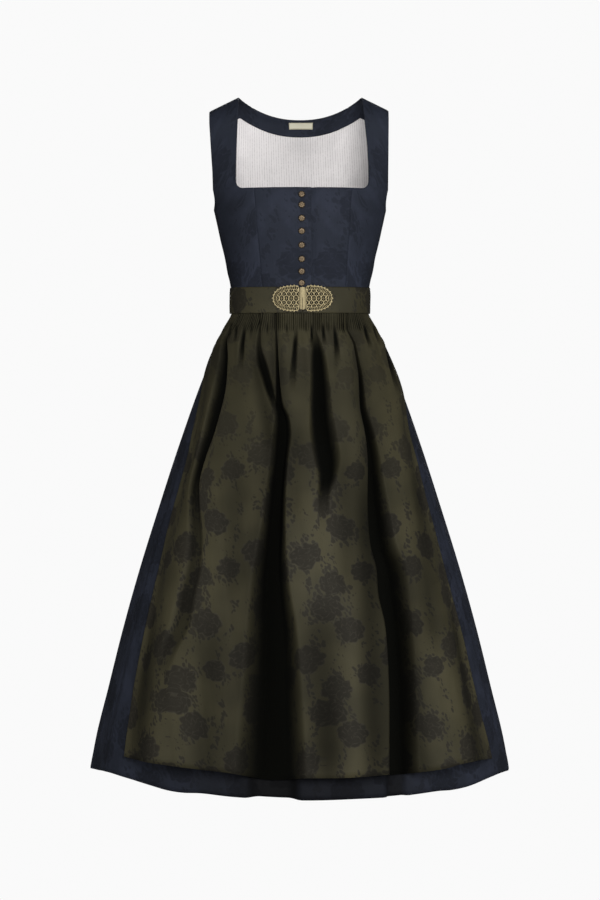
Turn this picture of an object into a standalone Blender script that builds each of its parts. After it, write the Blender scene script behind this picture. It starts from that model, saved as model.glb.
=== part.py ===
# Dirndl: buttoned bodice with wide straps, gathered skirt, apron and belt with a pierced clasp.
# Metres, +Z up, the front faces -Y. The origin lies midway between the tops of the two straps.

import math

import bpy
import numpy as np

# Driving dimensions
SEAM_GAP = 0.0003
LINING_GAP = 0.0006
BODICE_WALL = 0.0016
LINING_WALL = 0.0010
SKIRT_WALL = 0.0015
APRON_WALL = 0.0015
BELT_WALL = 0.0018

STRAP_TOP_INNER = 0.110
SHOULDER_SLOPE = 0.55
SHOULDER_ROUND = 0.045
ARMHOLE_BOTTOM = -0.203
NECK_FRONT = -0.168
NECK_CORNER_RADIUS = 0.009
NECK_BACK = -0.034
NECK_BACK_POWER = 2.2
FACING_DEPTH = 0.030
FACING_ROW_GAP = 0.012
PLACKET_EDGE = 0.0195
PLACKET_STEPS = (0.001, 0.006, 0.012)
UNDERLAP = 0.028

WAIST_SEAM = -0.3645
BELT_TOP = -0.3420
BELT_BOTTOM = -0.3885
HEM = -1.204
APRON_TOP = -0.3700
APRON_HEM_MIDDLE = -1.1660
APRON_HEM_SIDE = -1.1570
GATHER_DEPTH = 0.0008

BUTTON_RADIUS = 0.0062
BUTTON_HEIGHT = 0.0040
BUTTON_PETAL_NOTCH = 0.94
BUTTON_X = 0.0030
BUTTON_RINGS = ((1.0, 0.0), (1.0, 0.30), (0.72, 0.85), (0.34, 1.0))
BUTTON_HEIGHTS = (-0.1809, -0.1995, -0.2222, -0.2443, -0.2686, -0.2929, -0.3144, -0.3350)

CLASP_CENTRE = (0.0045, -0.3640)
CLASP_HALF_LENGTH = 0.0545
CLASP_HALF_HEIGHT = 0.0236
CLASP_WALL = 0.0016

# Bodice sections: depth below the shoulder line, half width, depth to the front, depth to the back
BODICE_POWER = 2.3
BODICE_SECTIONS = (
    (0.000, 0.205, 0.064, 0.062),
    (0.045, 0.188, 0.072, 0.073),
    (0.100, 0.174, 0.090, 0.088),
    (0.150, 0.1625, 0.104, 0.094),
    (0.177, 0.1545, 0.111, 0.094),
    (0.210, 0.1476, 0.117, 0.092),
    (0.242, 0.1413, 0.113, 0.088),
    (0.275, 0.1341, 0.105, 0.084),
    (0.307, 0.1287, 0.0968, 0.0810),
    (0.322, 0.1252, 0.0932, 0.0797),
    (0.336, 0.1230, 0.0906, 0.0788),
    (0.366, 0.1208, 0.0880, 0.0780),
)

# Skirt sections: height, half width, depth to the front, depth to the back, roundness power
SKIRT_SECTIONS = (
    (-0.3648, 0.1200, 0.0870, 0.0775, 2.30),
    (-0.3800, 0.1202, 0.0872, 0.0777, 2.30),
    (-0.3910, 0.1206, 0.0876, 0.0782, 2.30),
    (-0.4180, 0.1360, 0.0980, 0.0930, 2.25),
    (-0.4540, 0.1535, 0.1100, 0.1120, 2.20),
    (-0.5260, 0.1820, 0.1340, 0.1420, 2.15),
    (-0.6340, 0.2190, 0.1650, 0.1780, 2.10),
    (-0.7420, 0.2530, 0.1940, 0.2120, 2.10),
    (-0.8500, 0.2860, 0.2210, 0.2450, 2.10),
    (-0.9580, 0.3160, 0.2480, 0.2770, 2.10),
    (-1.0660, 0.3430, 0.2720, 0.3060, 2.10),
    (-1.1380, 0.3610, 0.2870, 0.3230, 2.10),
    (-1.2040, 0.3740, 0.3000, 0.3370, 2.10),
)

# Apron edges: height, angle from the front to the right edge (wearer's), to the left edge, in degrees
APRON_EDGES = (
    (-0.370, 88.5, 88.5),
    (-0.455, 88.0, 88.5),
    (-0.490, 79.0, 86.0),
    (-0.525, 70.0, 80.0),
    (-0.560, 66.0, 71.0),
    (-0.595, 63.8, 66.0),
    (-0.640, 61.0, 64.5),
    (-0.735, 60.5, 62.5),
    (-0.840, 59.0, 61.5),
    (-0.950, 57.8, 62.0),
    (-1.045, 56.8, 62.0),
    (-1.160, 54.2, 63.5),
)

# How far the apron stands off the skirt between its folds: height, stand-off
APRON_STANDOFF = (
    (-0.370, 0.0032),
    (-0.425, 0.0034),
    (-0.455, 0.0055),
    (-0.525, 0.0120),
    (-0.600, 0.0190),
    (-0.740, 0.0260),
    (-0.850, 0.0310),
    (-0.960, 0.0345),
    (-1.066, 0.0370),
    (-1.166, 0.0385),
)

# Least distance of the apron from the skirt form: at the belt, and what is added below the gathers
APRON_REST = (0.0028, 0.0017)
APRON_REST_HEIGHTS = (-0.430, -0.510)
APRON_EDGE_LIFT = 0.16
APRON_EDGE_FADE = 17.0

# Deep apron folds: rows of height, place across, half width, depth
APRON_FOLDS = {
    "right_middle": (
        (-0.418, -0.042, 0.0060, 0.0010),
        (-0.475, -0.039, 0.0070, 0.0050),
        (-0.553, -0.035, 0.0085, 0.0090),
        (-0.602, -0.030, 0.0128, 0.0150),
        (-0.689, -0.038, 0.0135, 0.0180),
        (-0.794, -0.046, 0.0184, 0.0260),
        (-0.877, -0.047, 0.0262, 0.0330),
        (-0.931, -0.045, 0.0321, 0.0370),
        (-1.030, -0.044, 0.0377, 0.0400),
        (-1.176, -0.046, 0.0449, 0.0420),
    ),
    "middle": (
        (-0.418, 0.025, 0.0060, 0.0010),
        (-0.469, 0.032, 0.0108, 0.0055),
        (-0.522, 0.034, 0.0139, 0.0110),
        (-0.602, 0.038, 0.0182, 0.0180),
        (-0.645, 0.045, 0.0179, 0.0170),
        (-0.675, 0.045, 0.0129, 0.0120),
        (-0.731, 0.036, 0.0110, 0.0030),
        (-0.769, 0.038, 0.0110, 0.0000),
        (-1.176, 0.043, 0.0110, 0.0000),
    ),
    "left": (
        (-0.418, 0.082, 0.0060, 0.0010),
        (-0.490, 0.101, 0.0070, 0.0050),
        (-0.559, 0.105, 0.0080, 0.0090),
        (-0.645, 0.120, 0.0090, 0.0120),
        (-0.734, 0.127, 0.0137, 0.0190),
        (-0.794, 0.134, 0.0164, 0.0240),
        (-0.877, 0.149, 0.0203, 0.0290),
        (-0.931, 0.157, 0.0190, 0.0300),
        (-1.176, 0.163, 0.0199, 0.0300),
    ),
    "right_side": (
        (-0.380, -0.106, 0.0060, 0.0000),
        (-0.400, -0.114, 0.0060, 0.0000),
        (-0.426, -0.129, 0.0060, 0.0010),
        (-0.475, -0.136, 0.0070, 0.0050),
        (-0.522, -0.138, 0.0085, 0.0090),
        (-0.607, -0.154, 0.0085, 0.0090),
        (-0.689, -0.173, 0.0085, 0.0070),
        (-0.786, -0.185, 0.0090, 0.0050),
        (-0.890, -0.181, 0.0110, 0.0045),
        (-0.959, -0.216, 0.0120, 0.0035),
        (-1.104, -0.250, 0.0120, 0.0000),
        (-1.176, -0.250, 0.0120, 0.0000),
    ),
    "slant": (
        (-0.415, -0.070, 0.0060, 0.0010),
        (-0.476, -0.066, 0.0085, 0.0055),
        (-0.506, -0.058, 0.0085, 0.0065),
        (-0.528, -0.051, 0.0080, 0.0050),
        (-0.568, -0.036, 0.0080, 0.0000),
        (-1.176, -0.035, 0.0080, 0.0000),
    ),
}
FOLD_FLAT = 0.25
FOLD_SIDE = 1.10

# Room in the skirt behind the deep folds: how much wider it is, and what stays free in front of it
RECESS_WIDEN = 1.30
RECESS_CLEAR = 0.0085
RECESS_REACH = 80.0

# Short folds that start in the apron's gathers: place at the top, place at the foot, foot height, depth
APRON_SHORT_FOLDS = (
    (-0.151, -0.161, -0.505, 0.0026),
    (-0.096, -0.104, -0.505, 0.0032),
    (-0.006, -0.015, -0.545, 0.0036),
    (0.059, 0.066, -0.500, 0.0032),
    (0.111, 0.122, -0.485, 0.0028),
    (0.143, 0.169, -0.560, 0.0030),
)
SHORT_FOLD_TOP = -0.415
SHORT_FOLD_HALF_WIDTH = 0.008

# The skirt's own folds: rise at the waist and what is added at the hem, and how many in a half round
FRONT_FOLD_RISE = (0.0004, 0.0012)
FRONT_FOLD_COUNT = 12
BACK_FOLD_RISE = (0.0008, 0.0110)
BACK_FOLD_COUNT = 18
BACK_FOLD_START = 84.0
BACK_FOLD_BLEND = 22.0

# Front seam between the centre and side fronts: height, place on the right, place on the left
FRONT_SEAMS = (
    (-0.160, -0.0815, 0.0915),
    (-0.252, -0.0740, 0.0862),
    (-0.366, -0.0640, 0.0790),
)

# Back seam between the centre and side backs: height, distance from the middle
BACK_SEAMS = (
    (-0.005, 0.088),
    (-0.150, 0.072),
    (-0.250, 0.056),
    (-0.366, 0.044),
)

# Strap edges: height, distance of the inner edge on the right, on the left, and of the outer edge
STRAP_EDGES = (
    (0.000, 0.1100, 0.1100, 0.1620),
    (-0.030, 0.1100, 0.1130, 0.1610),
    (-0.090, 0.1120, 0.1190, 0.1575),
    (-0.130, 0.1128, 0.1208, 0.1550),
    (-0.168, 0.1128, 0.1208, 0.1540),
)
OUTER = 3

# Levels of the bodice below the neckline, from the neckline down to the waist seam
BODICE_LEVELS = (
    NECK_FRONT, -0.1855, -0.1980, ARMHOLE_BOTTOM, -0.2350, -0.2700, -0.3120, -0.3400, WAIST_SEAM,
)

# Rows above the neckline's level, as shares of the way down from the shoulder
STRAP_SHARES = (0.0, 0.05, 0.14, 0.27, 0.48, 0.72, 0.9464)
BACK_SHARES = (0.0, 0.05, 0.14, 0.27, 0.48, 0.72, 1.0)
BACK_ROW_COUNT = len(BACK_SHARES) + len(BODICE_LEVELS) - 1

# Columns of the back: cells between the middle and the seam, then shares from the seam to the armhole
BACK_CENTRE_CELLS = 3
BACK_SIDE_SHARES = (0.0, 0.15, 0.30, 0.53, 0.77, 1.0)
BACK_CENTRE_COLUMNS = range(-3, 4)
BACK_COLUMNS = range(-8, 9)
FACING_COLUMNS = range(-5, 6)
LABEL_ROWS = (0.36, 1.0, 1.67)
LABEL_PLACES = (-0.0205, 0.0, 0.0235)

# Belt sections, outer face: height, half width, depth to the front, depth to the back
BELT_SECTIONS = (
    (BELT_TOP, 0.1264, 0.0934, 0.0818),
    (BELT_BOTTOM, 0.1268, 0.0938, 0.0826),
)
BELT_CELLS = 56

CLASP_MIDDLE = 0.0265
CLASP_TIP_POWER = 3.0
CLASP_SIDE_POWER = 0.55
CLASP_BAR_HALF_WIDTH = 0.0062
CLASP_BAR_HALF_HEIGHT = 0.0200
CLASP_BAR_ROUND = 0.0012
CLASP_BAR_SHARES = (1.0, 0.8, -0.8, -1.0)
CLASP_BAR_CELLS = 6
CLASP_DOME = 0.0016
CLASP_FOOT = 0.4
CLASP_NOTCH = 0.955
CLASP_NOTCH_LIMIT = -0.4
CLASP_CELLS = 24
CLASP_RINGS = (0.15, 0.42, 0.60, 0.84, 1.0)
CLASP_LEAF_RING = 0
CLASP_SLOT_RING = 2
BUTTON_SIDES = 12

# Levels of the apron: the shirred band with its fine cells, then the hanging cloth
APRON_GATHER_LEVELS = (APRON_TOP, -0.3910, -0.4240)
APRON_LEVELS = (
    -0.4360, -0.4550, -0.4850, -0.5200, -0.5600, -0.6000, -0.6450, -0.6950,
    -0.7500, -0.8100, -0.8700, -0.9300, -0.9900, -1.0500, -1.1100, -1.1600,
)
APRON_SPANS = (8, 16, 10, 10, 16)
APRON_DRAW = 0.30
FINE_CELLS = 3

SKIRT_LEVELS = (
    -0.3648, -0.3910, -0.4240, -0.4700, -0.5400, -0.6200,
    -0.7200, -0.8100, -0.9000, -0.9900, -1.0800, HEM,
)
SKIRT_FRONT_CELLS = 44
SKIRT_BACK_CELLS = 24

COLOURS = {
    "navy": ((0.022, 0.026, 0.042, 1.0), 0.70, 0.0),
    "olive": ((0.046, 0.041, 0.027, 1.0), 0.60, 0.0),
    "pale": ((0.600, 0.580, 0.570, 1.0), 0.80, 0.0),
    "cream": ((0.760, 0.720, 0.600, 1.0), 0.80, 0.0),
    "pale_gold": ((0.400, 0.320, 0.180, 1.0), 0.35, 1.0),
    "old_brass": ((0.160, 0.130, 0.095, 1.0), 0.40, 1.0),
}


def clear_scene():
    for item in list(bpy.data.objects):
        bpy.data.objects.remove(item)


def make_material(name, colour_key):
    colour, roughness, metallic = COLOURS[colour_key]
    material = bpy.data.materials.new(name)
    material.use_nodes = True
    shader = material.node_tree.nodes["Principled BSDF"]
    shader.inputs["Base Color"].default_value = colour
    shader.inputs["Roughness"].default_value = roughness
    shader.inputs["Metallic"].default_value = metallic
    material.diffuse_color = colour
    return material


def along(table, position, column):
    """Value of a table's column at a position, where the first column rises or falls steadily."""
    keys = [row[0] for row in table]
    values = [row[column] for row in table]
    if keys[0] > keys[-1]:
        keys.reverse()
        values.reverse()
    return float(np.interp(position, keys, values))


def eased(table, position, column):
    """The same value, read from a smooth curve through the rows."""
    rows = sorted(table, key=lambda row: row[0])
    keys = [row[0] for row in rows]
    values = [row[column] for row in rows]
    if position <= keys[0]:
        return values[0]
    if position >= keys[-1]:
        return values[-1]
    index = max(i for i in range(len(keys) - 1) if keys[i] <= position)
    span = keys[index + 1] - keys[index]
    part = (position - keys[index]) / span
    slopes = []
    for i in (index, index + 1):
        low = max(i - 1, 0)
        high = min(i + 1, len(keys) - 1)
        slopes.append((values[high] - values[low]) / (keys[high] - keys[low]) * span)
    square = part * part
    cube = square * part
    start = (2 * cube - 3 * square + 1) * values[index] + (cube - 2 * square + part) * slopes[0]
    end = (3 * square - 2 * cube) * values[index + 1] + (cube - square) * slopes[1]
    return start + end


def ease(value):
    value = min(1.0, max(0.0, value))
    return value * value * (3.0 - 2.0 * value)


def signed_power(value, power):
    return math.copysign(abs(value) ** power, value)


def ring_point(angle, half_width, front, back, power):
    """Point of a rounded section; the angle runs from the front (0) to the wearer's left side."""
    across = half_width * signed_power(math.sin(angle), 2.0 / power)
    cosine = signed_power(math.cos(angle), 2.0 / power)
    depth = front if cosine >= 0.0 else back
    return across, -depth * cosine


def section_angle(across, half_width, power):
    share = min(1.0, abs(across) / half_width)
    return math.copysign(math.asin(share ** (power / 2.0)), across)


def shoulder_line(across):
    return -SHOULDER_SLOPE * max(0.0, abs(across) - STRAP_TOP_INNER)


def bodice_surface(angle, depth_angle, inset, back):
    """Bodice point: depth_angle turns over the shoulder from 0 to pi/2, and goes on down past it."""
    if depth_angle < math.pi / 2.0:
        depth = SHOULDER_ROUND * (1.0 - math.cos(depth_angle))
        rounding = math.sin(depth_angle)
    else:
        depth = SHOULDER_ROUND * (1.0 + depth_angle - math.pi / 2.0)
        rounding = 1.0
    half_width = eased(BODICE_SECTIONS, depth, 1)
    reach = eased(BODICE_SECTIONS, depth, 3 if back else 2) * rounding
    turn = math.pi - abs(angle) if back else abs(angle)
    across, forward = ring_point(math.copysign(turn, angle), half_width, reach, reach, BODICE_POWER)
    point = np.array((across, forward, shoulder_line(across) - depth))
    if inset:
        point = point - inset * bodice_normal(angle, depth_angle, back)
    return point


def bodice_normal(angle, depth_angle, back):
    step = 0.004
    du = bodice_surface(angle + step, depth_angle, 0.0, back)
    du = du - bodice_surface(angle - step, depth_angle, 0.0, back)
    dv = bodice_surface(angle, depth_angle + step, 0.0, back)
    dv = dv - bodice_surface(angle, depth_angle - step, 0.0, back)
    normal = np.cross(du, dv)
    if not back:
        normal = -normal
    return normal / np.linalg.norm(normal)


def bodice_place(across, height):
    """Surface coordinates of the bodice point at a place across and a height."""
    depth = max(0.0, shoulder_line(across) - height)
    if depth < SHOULDER_ROUND:
        depth_angle = math.acos(1.0 - depth / SHOULDER_ROUND)
    else:
        depth_angle = math.pi / 2.0 + depth / SHOULDER_ROUND - 1.0
    half_width = eased(BODICE_SECTIONS, depth, 1)
    return section_angle(across, half_width, BODICE_POWER), depth_angle


def bodice_pair(across, height, wall, inset, back):
    """Outer and inner point of a bodice piece, held off the shoulder and side seams."""
    angle, depth_angle = bodice_place(across, height)
    return bodice_pair_at(angle, depth_angle, wall, inset, back)


def bodice_pair_at(angle, depth_angle, wall, inset, back):
    seam = np.array((0.0, SEAM_GAP / 2.0 if back else -SEAM_GAP / 2.0, 0.0))
    outer = bodice_surface(angle, depth_angle, inset, back) + seam
    inner = bodice_surface(angle, depth_angle, inset + wall, back) + seam
    return outer, inner


def skirt_base(angle, height):
    sizes = [eased(SKIRT_SECTIONS, height, column) for column in (1, 2, 3, 4)]
    across, forward = ring_point(angle, *sizes)
    return np.array((across, forward, height))


def skirt_normal(angle, height):
    turn = 0.004
    drop = 0.002
    du = skirt_base(angle + turn, height) - skirt_base(angle - turn, height)
    dv = skirt_base(angle, height - drop) - skirt_base(angle, height + drop)
    normal = -np.cross(du, dv)
    return normal / np.linalg.norm(normal)


def fold_profile(share):
    return ease(1.0 - max(0.0, abs(share) - FOLD_FLAT) / FOLD_SIDE)


def deep_folds(across, height, widen):
    total = 0.0
    for rows in APRON_FOLDS.values():
        middle = eased(rows, height, 1)
        half_width = eased(rows, height, 2) * widen
        total += max(0.0, eased(rows, height, 3)) * fold_profile((across - middle) / half_width)
    return total


def short_folds(across, height):
    total = 0.0
    for start, end, foot, depth in APRON_SHORT_FOLDS:
        share = (height - SHORT_FOLD_TOP) / (foot - SHORT_FOLD_TOP)
        if 0.0 < share < 1.0:
            middle = start + (end - start) * share
            swell = math.sin(math.pi * share)
            total += depth * swell * fold_profile((across - middle) / SHORT_FOLD_HALF_WIDTH)
    return total


def skirt_recess(angle, height):
    """How far the skirt draws in behind the apron's deep folds."""
    if abs(angle) > math.radians(RECESS_REACH):
        return 0.0
    across = skirt_base(angle, height)[0]
    room = eased(APRON_STANDOFF, height, 1) - RECESS_CLEAR
    return max(0.0, deep_folds(across, height, RECESS_WIDEN) - max(0.0, room))


def skirt_folds(angle, height):
    """How far the skirt's own soft folds stand out; a crest runs down each side."""
    fall = ease((WAIST_SEAM - height) / (WAIST_SEAM - HEM))
    side = abs(angle) - math.pi / 2.0
    back_share = ease((abs(angle) - math.radians(BACK_FOLD_START)) / math.radians(BACK_FOLD_BLEND))
    back = (BACK_FOLD_RISE[0] + BACK_FOLD_RISE[1] * fall) * math.cos(BACK_FOLD_COUNT * side)
    front = (FRONT_FOLD_RISE[0] + FRONT_FOLD_RISE[1] * fall) * math.cos(FRONT_FOLD_COUNT * side)
    return back * back_share + front * (1.0 - back_share) - skirt_recess(angle, height)


def apron_lift(angle, height):
    """Distance from the smooth skirt form to the apron's outer face."""
    right_edge = math.radians(eased(APRON_EDGES, height, 1))
    left_edge = math.radians(eased(APRON_EDGES, height, 2))
    room = (left_edge - angle) if angle > 0.0 else (right_edge + angle)
    fade = APRON_EDGE_LIFT + (1.0 - APRON_EDGE_LIFT) * ease(room / math.radians(APRON_EDGE_FADE))
    across = skirt_base(angle, height)[0]
    start, end = APRON_REST_HEIGHTS
    rest = APRON_REST[0] + APRON_REST[1] * ease((start - height) / (start - end))
    lift = eased(APRON_STANDOFF, height, 1) * fade
    lift = lift - deep_folds(across, height, 1.0) - short_folds(across, height)
    return max(rest - skirt_recess(angle, height), lift)


def make_closed_sheet(name, outer, inner, faces, material):
    """Solid between two matching sheets; open edges of the faces get a narrow wall."""
    outer = np.array(outer)
    inner = np.array(inner)
    first = faces[0]
    side = np.cross(outer[first[1]] - outer[first[0]], outer[first[2]] - outer[first[0]])
    if float(np.dot(side, outer[first[0]] - inner[first[0]])) < 0.0:
        faces = [tuple(reversed(face)) for face in faces]
    edges = set()
    for face in faces:
        for i in range(3):
            edges.add((face[i], face[(i + 1) % 3]))
    used = sorted({index for face in faces for index in face})
    number = {index: i for i, index in enumerate(used)}
    count = len(used)
    points = [outer[i] for i in used] + [inner[i] for i in used]
    polygons = [tuple(number[i] for i in face) for face in faces]
    polygons += [tuple(number[i] + count for i in reversed(face)) for face in faces]
    surface_count = len(polygons)
    for start, end in sorted(edges):
        if (end, start) not in edges:
            a = number[start]
            b = number[end]
            polygons.append((b, a, a + count))
            polygons.append((b, a + count, b + count))
    mesh = bpy.data.meshes.new(name)
    mesh.from_pydata([tuple(float(v) for v in point) for point in points], [], polygons)
    mesh.update()
    for index, polygon in enumerate(mesh.polygons):
        polygon.use_smooth = index < surface_count
    item = bpy.data.objects.new(name, mesh)
    item.data.materials.append(material)
    bpy.context.collection.objects.link(item)
    return item


def make_panel(name, rows, material, drop=()):
    """Sheet through rows of (outer, inner) pairs; a row may have several cells to each one below."""
    starts = [0]
    for row in rows:
        starts.append(starts[-1] + len(row))
    faces = []
    for i in range(len(rows) - 1):
        upper = len(rows[i]) - 1
        lower = len(rows[i + 1]) - 1
        each = upper // lower
        for j in range(lower):
            if (i, j) in drop:
                continue
            a = starts[i] + j * each
            c = starts[i + 1] + j
            middle = each // 2 + (each % 2)
            for k in range(each):
                foot = c if k < middle else c + 1
                faces.append((a + k, foot, a + k + 1))
            faces.append((a + middle, c, c + 1))
    outer = [pair[0] for row in rows for pair in row]
    inner = [pair[1] for row in rows for pair in row]
    return make_closed_sheet(name, outer, inner, faces, material)


def lerp_pair(first, second, share):
    return tuple(a + (b - a) * share for a, b in zip(first, second))


def armhole_angle(height):
    """Angle of the armhole edge from the middle; it reaches the side seam at the armhole's foot."""
    start = bodice_place(along(STRAP_EDGES, NECK_FRONT, OUTER), NECK_FRONT)[0]
    share = min(1.0, (NECK_FRONT - height) / (NECK_FRONT - ARMHOLE_BOTTOM))
    return math.pi / 2.0 - (math.pi / 2.0 - start) * math.sqrt(1.0 - share * share)


def depth_angle_at(angle, height):
    """Depth coordinate of the bodice point at an angle and a height."""
    depth = -height
    for _ in range(8):
        half_width = eased(BODICE_SECTIONS, depth, 1)
        across = half_width * abs(math.sin(angle)) ** (2.0 / BODICE_POWER)
        depth = shoulder_line(across) - height
    return math.pi / 2.0 + depth / SHOULDER_ROUND - 1.0


def lap_rows():
    """Rows of the lapping front, which also seat the buttons."""
    rows = []
    cells = 9
    for height in BODICE_LEVELS:
        start = along(FRONT_SEAMS, height, 1) + SEAM_GAP / 2.0
        places = [start + (PLACKET_EDGE - start) * i / cells for i in range(cells + 1)]
        rows.append([bodice_pair(x, height, BODICE_WALL, 0.0, False) for x in places])
    return rows


def lap_point(rows, across, height):
    """Point of the lapping front's outer faces at a place across and a height."""
    low = max(i for i in range(len(rows) - 1) if i == 0 or rows[i][0][0][2] >= height)
    ends = []
    for row in (rows[low], rows[low + 1]):
        places = [pair[0][0] for pair in row]
        ends.append(np.array([np.interp(across, places, [pair[0][k] for pair in row]) for k in range(3)]))
    share = (ends[0][2] - height) / (ends[0][2] - ends[1][2])
    return ends[0] + (ends[1] - ends[0]) * share


def front_centre_right(material):
    return make_panel("front_centre_right", lap_rows(), material)


def front_centre_left(material):
    rows = []
    full = BODICE_WALL + SEAM_GAP
    first, second, third = (PLACKET_EDGE + step for step in PLACKET_STEPS)
    cells = 6
    for height in BODICE_LEVELS:
        seam = along(FRONT_SEAMS, height, 2) - SEAM_GAP / 2.0
        places = [PLACKET_EDGE - UNDERLAP, PLACKET_EDGE - UNDERLAP / 2.0, first, second]
        places += [third + (seam - third) * i / cells for i in range(cells + 1)]
        row = []
        for x in places:
            inset = full * ease((third - x) / (third - first))
            row.append(bodice_pair(x, height, BODICE_WALL, inset, False))
        rows.append(row)
    return make_panel("front_centre_left", rows, material)


def front_side(name, side, material):
    """Side front with its strap; side is 1 for the wearer's left and -1 for the right."""
    seam_column = 2 if side > 0 else 1
    inner_column = 2 if side > 0 else 1
    inner_cells = 3
    strap_cells = 4
    corner = along(STRAP_EDGES, NECK_FRONT, inner_column)
    radius = NECK_CORNER_RADIUS
    rows = []
    drop = set()
    for share in STRAP_SHARES:
        level = share * NECK_FRONT
        inner_x = along(STRAP_EDGES, level, inner_column)
        outer_x = along(STRAP_EDGES, level, OUTER)
        row = []
        for i in range(strap_cells + 1):
            x = inner_x + (outer_x - inner_x) * i / strap_cells
            height = shoulder_line(x) * (1.0 - share) + NECK_FRONT * share
            row.append(bodice_pair(side * x, height, BODICE_WALL, 0.0, False))
        rows.append([row[0]] * inner_cells + row)
    for i in range(len(STRAP_SHARES)):
        for j in range(inner_cells):
            drop.add((i, j))
    seam = abs(along(FRONT_SEAMS, NECK_FRONT, seam_column)) + SEAM_GAP / 2.0
    seam_angle = bodice_place(seam, NECK_FRONT)[0]
    places = [seam, (seam + corner - radius) / 2.0, corner - radius, corner]
    shares = []
    for x in places:
        shares.append((bodice_place(x, NECK_FRONT)[0] - seam_angle) / (math.pi / 2.0 - seam_angle))
    row = [bodice_pair(side * x, NECK_FRONT, BODICE_WALL, 0.0, False) for x in places[:-1]]
    cut = radius * (1.0 - math.sqrt(0.5))
    row.append(bodice_pair(side * (corner - cut), NECK_FRONT + cut, BODICE_WALL, 0.0, False))
    outer_x = along(STRAP_EDGES, NECK_FRONT, OUTER)
    for i in range(1, strap_cells + 1):
        x = corner + (outer_x - corner) * i / strap_cells
        row.append(bodice_pair(side * x, NECK_FRONT, BODICE_WALL, 0.0, False))
    rows.append(row)
    for height in BODICE_LEVELS[1:]:
        seam = abs(along(FRONT_SEAMS, height, seam_column)) + SEAM_GAP / 2.0
        seam_angle = bodice_place(seam, height)[0]
        edge_angle = armhole_angle(height)
        angles = [seam_angle + (math.pi / 2.0 - seam_angle) * share for share in shares]
        start = angles[-1]
        angles += [start + (edge_angle - start) * (i + 1) / strap_cells for i in range(strap_cells)]
        row = []
        for angle in angles:
            depth_angle = depth_angle_at(angle, height)
            row.append(bodice_pair_at(side * angle, depth_angle, BODICE_WALL, 0.0, False))
        rows.append(row)
    return make_panel(name, rows, material, drop)


def back_top(across):
    """Height of the back's top edge: the neckline curve, then the shoulder seam."""
    share = abs(across) / STRAP_TOP_INNER
    if share < 1.0:
        return NECK_BACK * (1.0 - share ** NECK_BACK_POWER)
    return shoulder_line(across)


def back_across(column, level):
    """Place of a back column, counted from the middle, at a level above the armhole's foot."""
    seam = along(BACK_SEAMS, level, 1)
    side = 1.0 if column > 0 else -1.0
    count = abs(column)
    if count <= BACK_CENTRE_CELLS:
        return side * seam * count / BACK_CENTRE_CELLS
    edge = along(STRAP_EDGES, level, OUTER)
    return side * (seam + (edge - seam) * BACK_SIDE_SHARES[count - BACK_CENTRE_CELLS])


def back_angle(column, height):
    seam_angle = bodice_place(along(BACK_SEAMS, height, 1), height)[0]
    side = 1.0 if column > 0 else -1.0
    count = abs(column)
    if count <= BACK_CENTRE_CELLS:
        across = along(BACK_SEAMS, height, 1) * count / BACK_CENTRE_CELLS
        return side * bodice_place(across, height)[0]
    edge_angle = armhole_angle(height)
    share = BACK_SIDE_SHARES[count - BACK_CENTRE_CELLS]
    return side * (seam_angle + (edge_angle - seam_angle) * share)


def back_pair_on_row(column, row, wall, inset):
    """Pair of points where a column meets a row; rows run on from the straps down to the waist."""
    if row < len(BACK_SHARES):
        share = BACK_SHARES[row]
        x = back_across(column, share * NECK_FRONT)
        height = back_top(x) * (1.0 - share) + NECK_FRONT * share
        return bodice_pair(x, height, wall, inset, True)
    height = BODICE_LEVELS[row - len(BACK_SHARES) + 1]
    angle = back_angle(column, height)
    return bodice_pair_at(angle, depth_angle_at(abs(angle), height), wall, inset, True)


def back_pair(column, row, wall, inset):
    """The same for a row number with a fraction, on the straight line between two rows."""
    low = min(int(math.floor(row)), BACK_ROW_COUNT - 2)
    first = back_pair_on_row(column, low, wall, inset)
    second = back_pair_on_row(column, low + 1, wall, inset)
    return lerp_pair(first, second, row - low)


def shift_pair(pair, x):
    move = np.array((x, 0.0, 0.0))
    return tuple(point + move for point in pair)


def facing_row(column):
    """Row number, with a fraction, of the facing's lower edge at a column."""
    x = back_across(column, 0.0)
    share = FACING_DEPTH / (back_top(x) - NECK_FRONT)
    index = max(i for i in range(len(BACK_SHARES) - 1) if BACK_SHARES[i] <= share)
    return index + (share - BACK_SHARES[index]) / (BACK_SHARES[index + 1] - BACK_SHARES[index])


def back_centre(material):
    rows = []
    for row in range(BACK_ROW_COUNT):
        line = [back_pair_on_row(c, row, BODICE_WALL, 0.0) for c in BACK_CENTRE_COLUMNS]
        line[0] = shift_pair(line[0], SEAM_GAP / 2.0)
        line[-1] = shift_pair(line[-1], -SEAM_GAP / 2.0)
        rows.append(line)
    return make_panel("back_centre", rows, material)


def back_side(name, side, material):
    rows = []
    for row in range(BACK_ROW_COUNT):
        line = []
        for count in range(BACK_CENTRE_CELLS, BACK_CENTRE_CELLS + len(BACK_SIDE_SHARES)):
            line.append(back_pair_on_row(side * count, row, BODICE_WALL, 0.0))
        line[0] = shift_pair(line[0], side * SEAM_GAP / 2.0)
        if side < 0:
            line.reverse()
        rows.append(line)
    return make_panel(name, rows, material)


def facing_neck(material):
    inset = BODICE_WALL + LINING_GAP
    rows = []
    for row in (0, 1, 2):
        rows.append([back_pair_on_row(c, row, LINING_WALL, inset) for c in FACING_COLUMNS])
    rows.append([back_pair(c, facing_row(c) - FACING_ROW_GAP, LINING_WALL, inset) for c in FACING_COLUMNS])
    return make_panel("facing_neck", rows, material)


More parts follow.
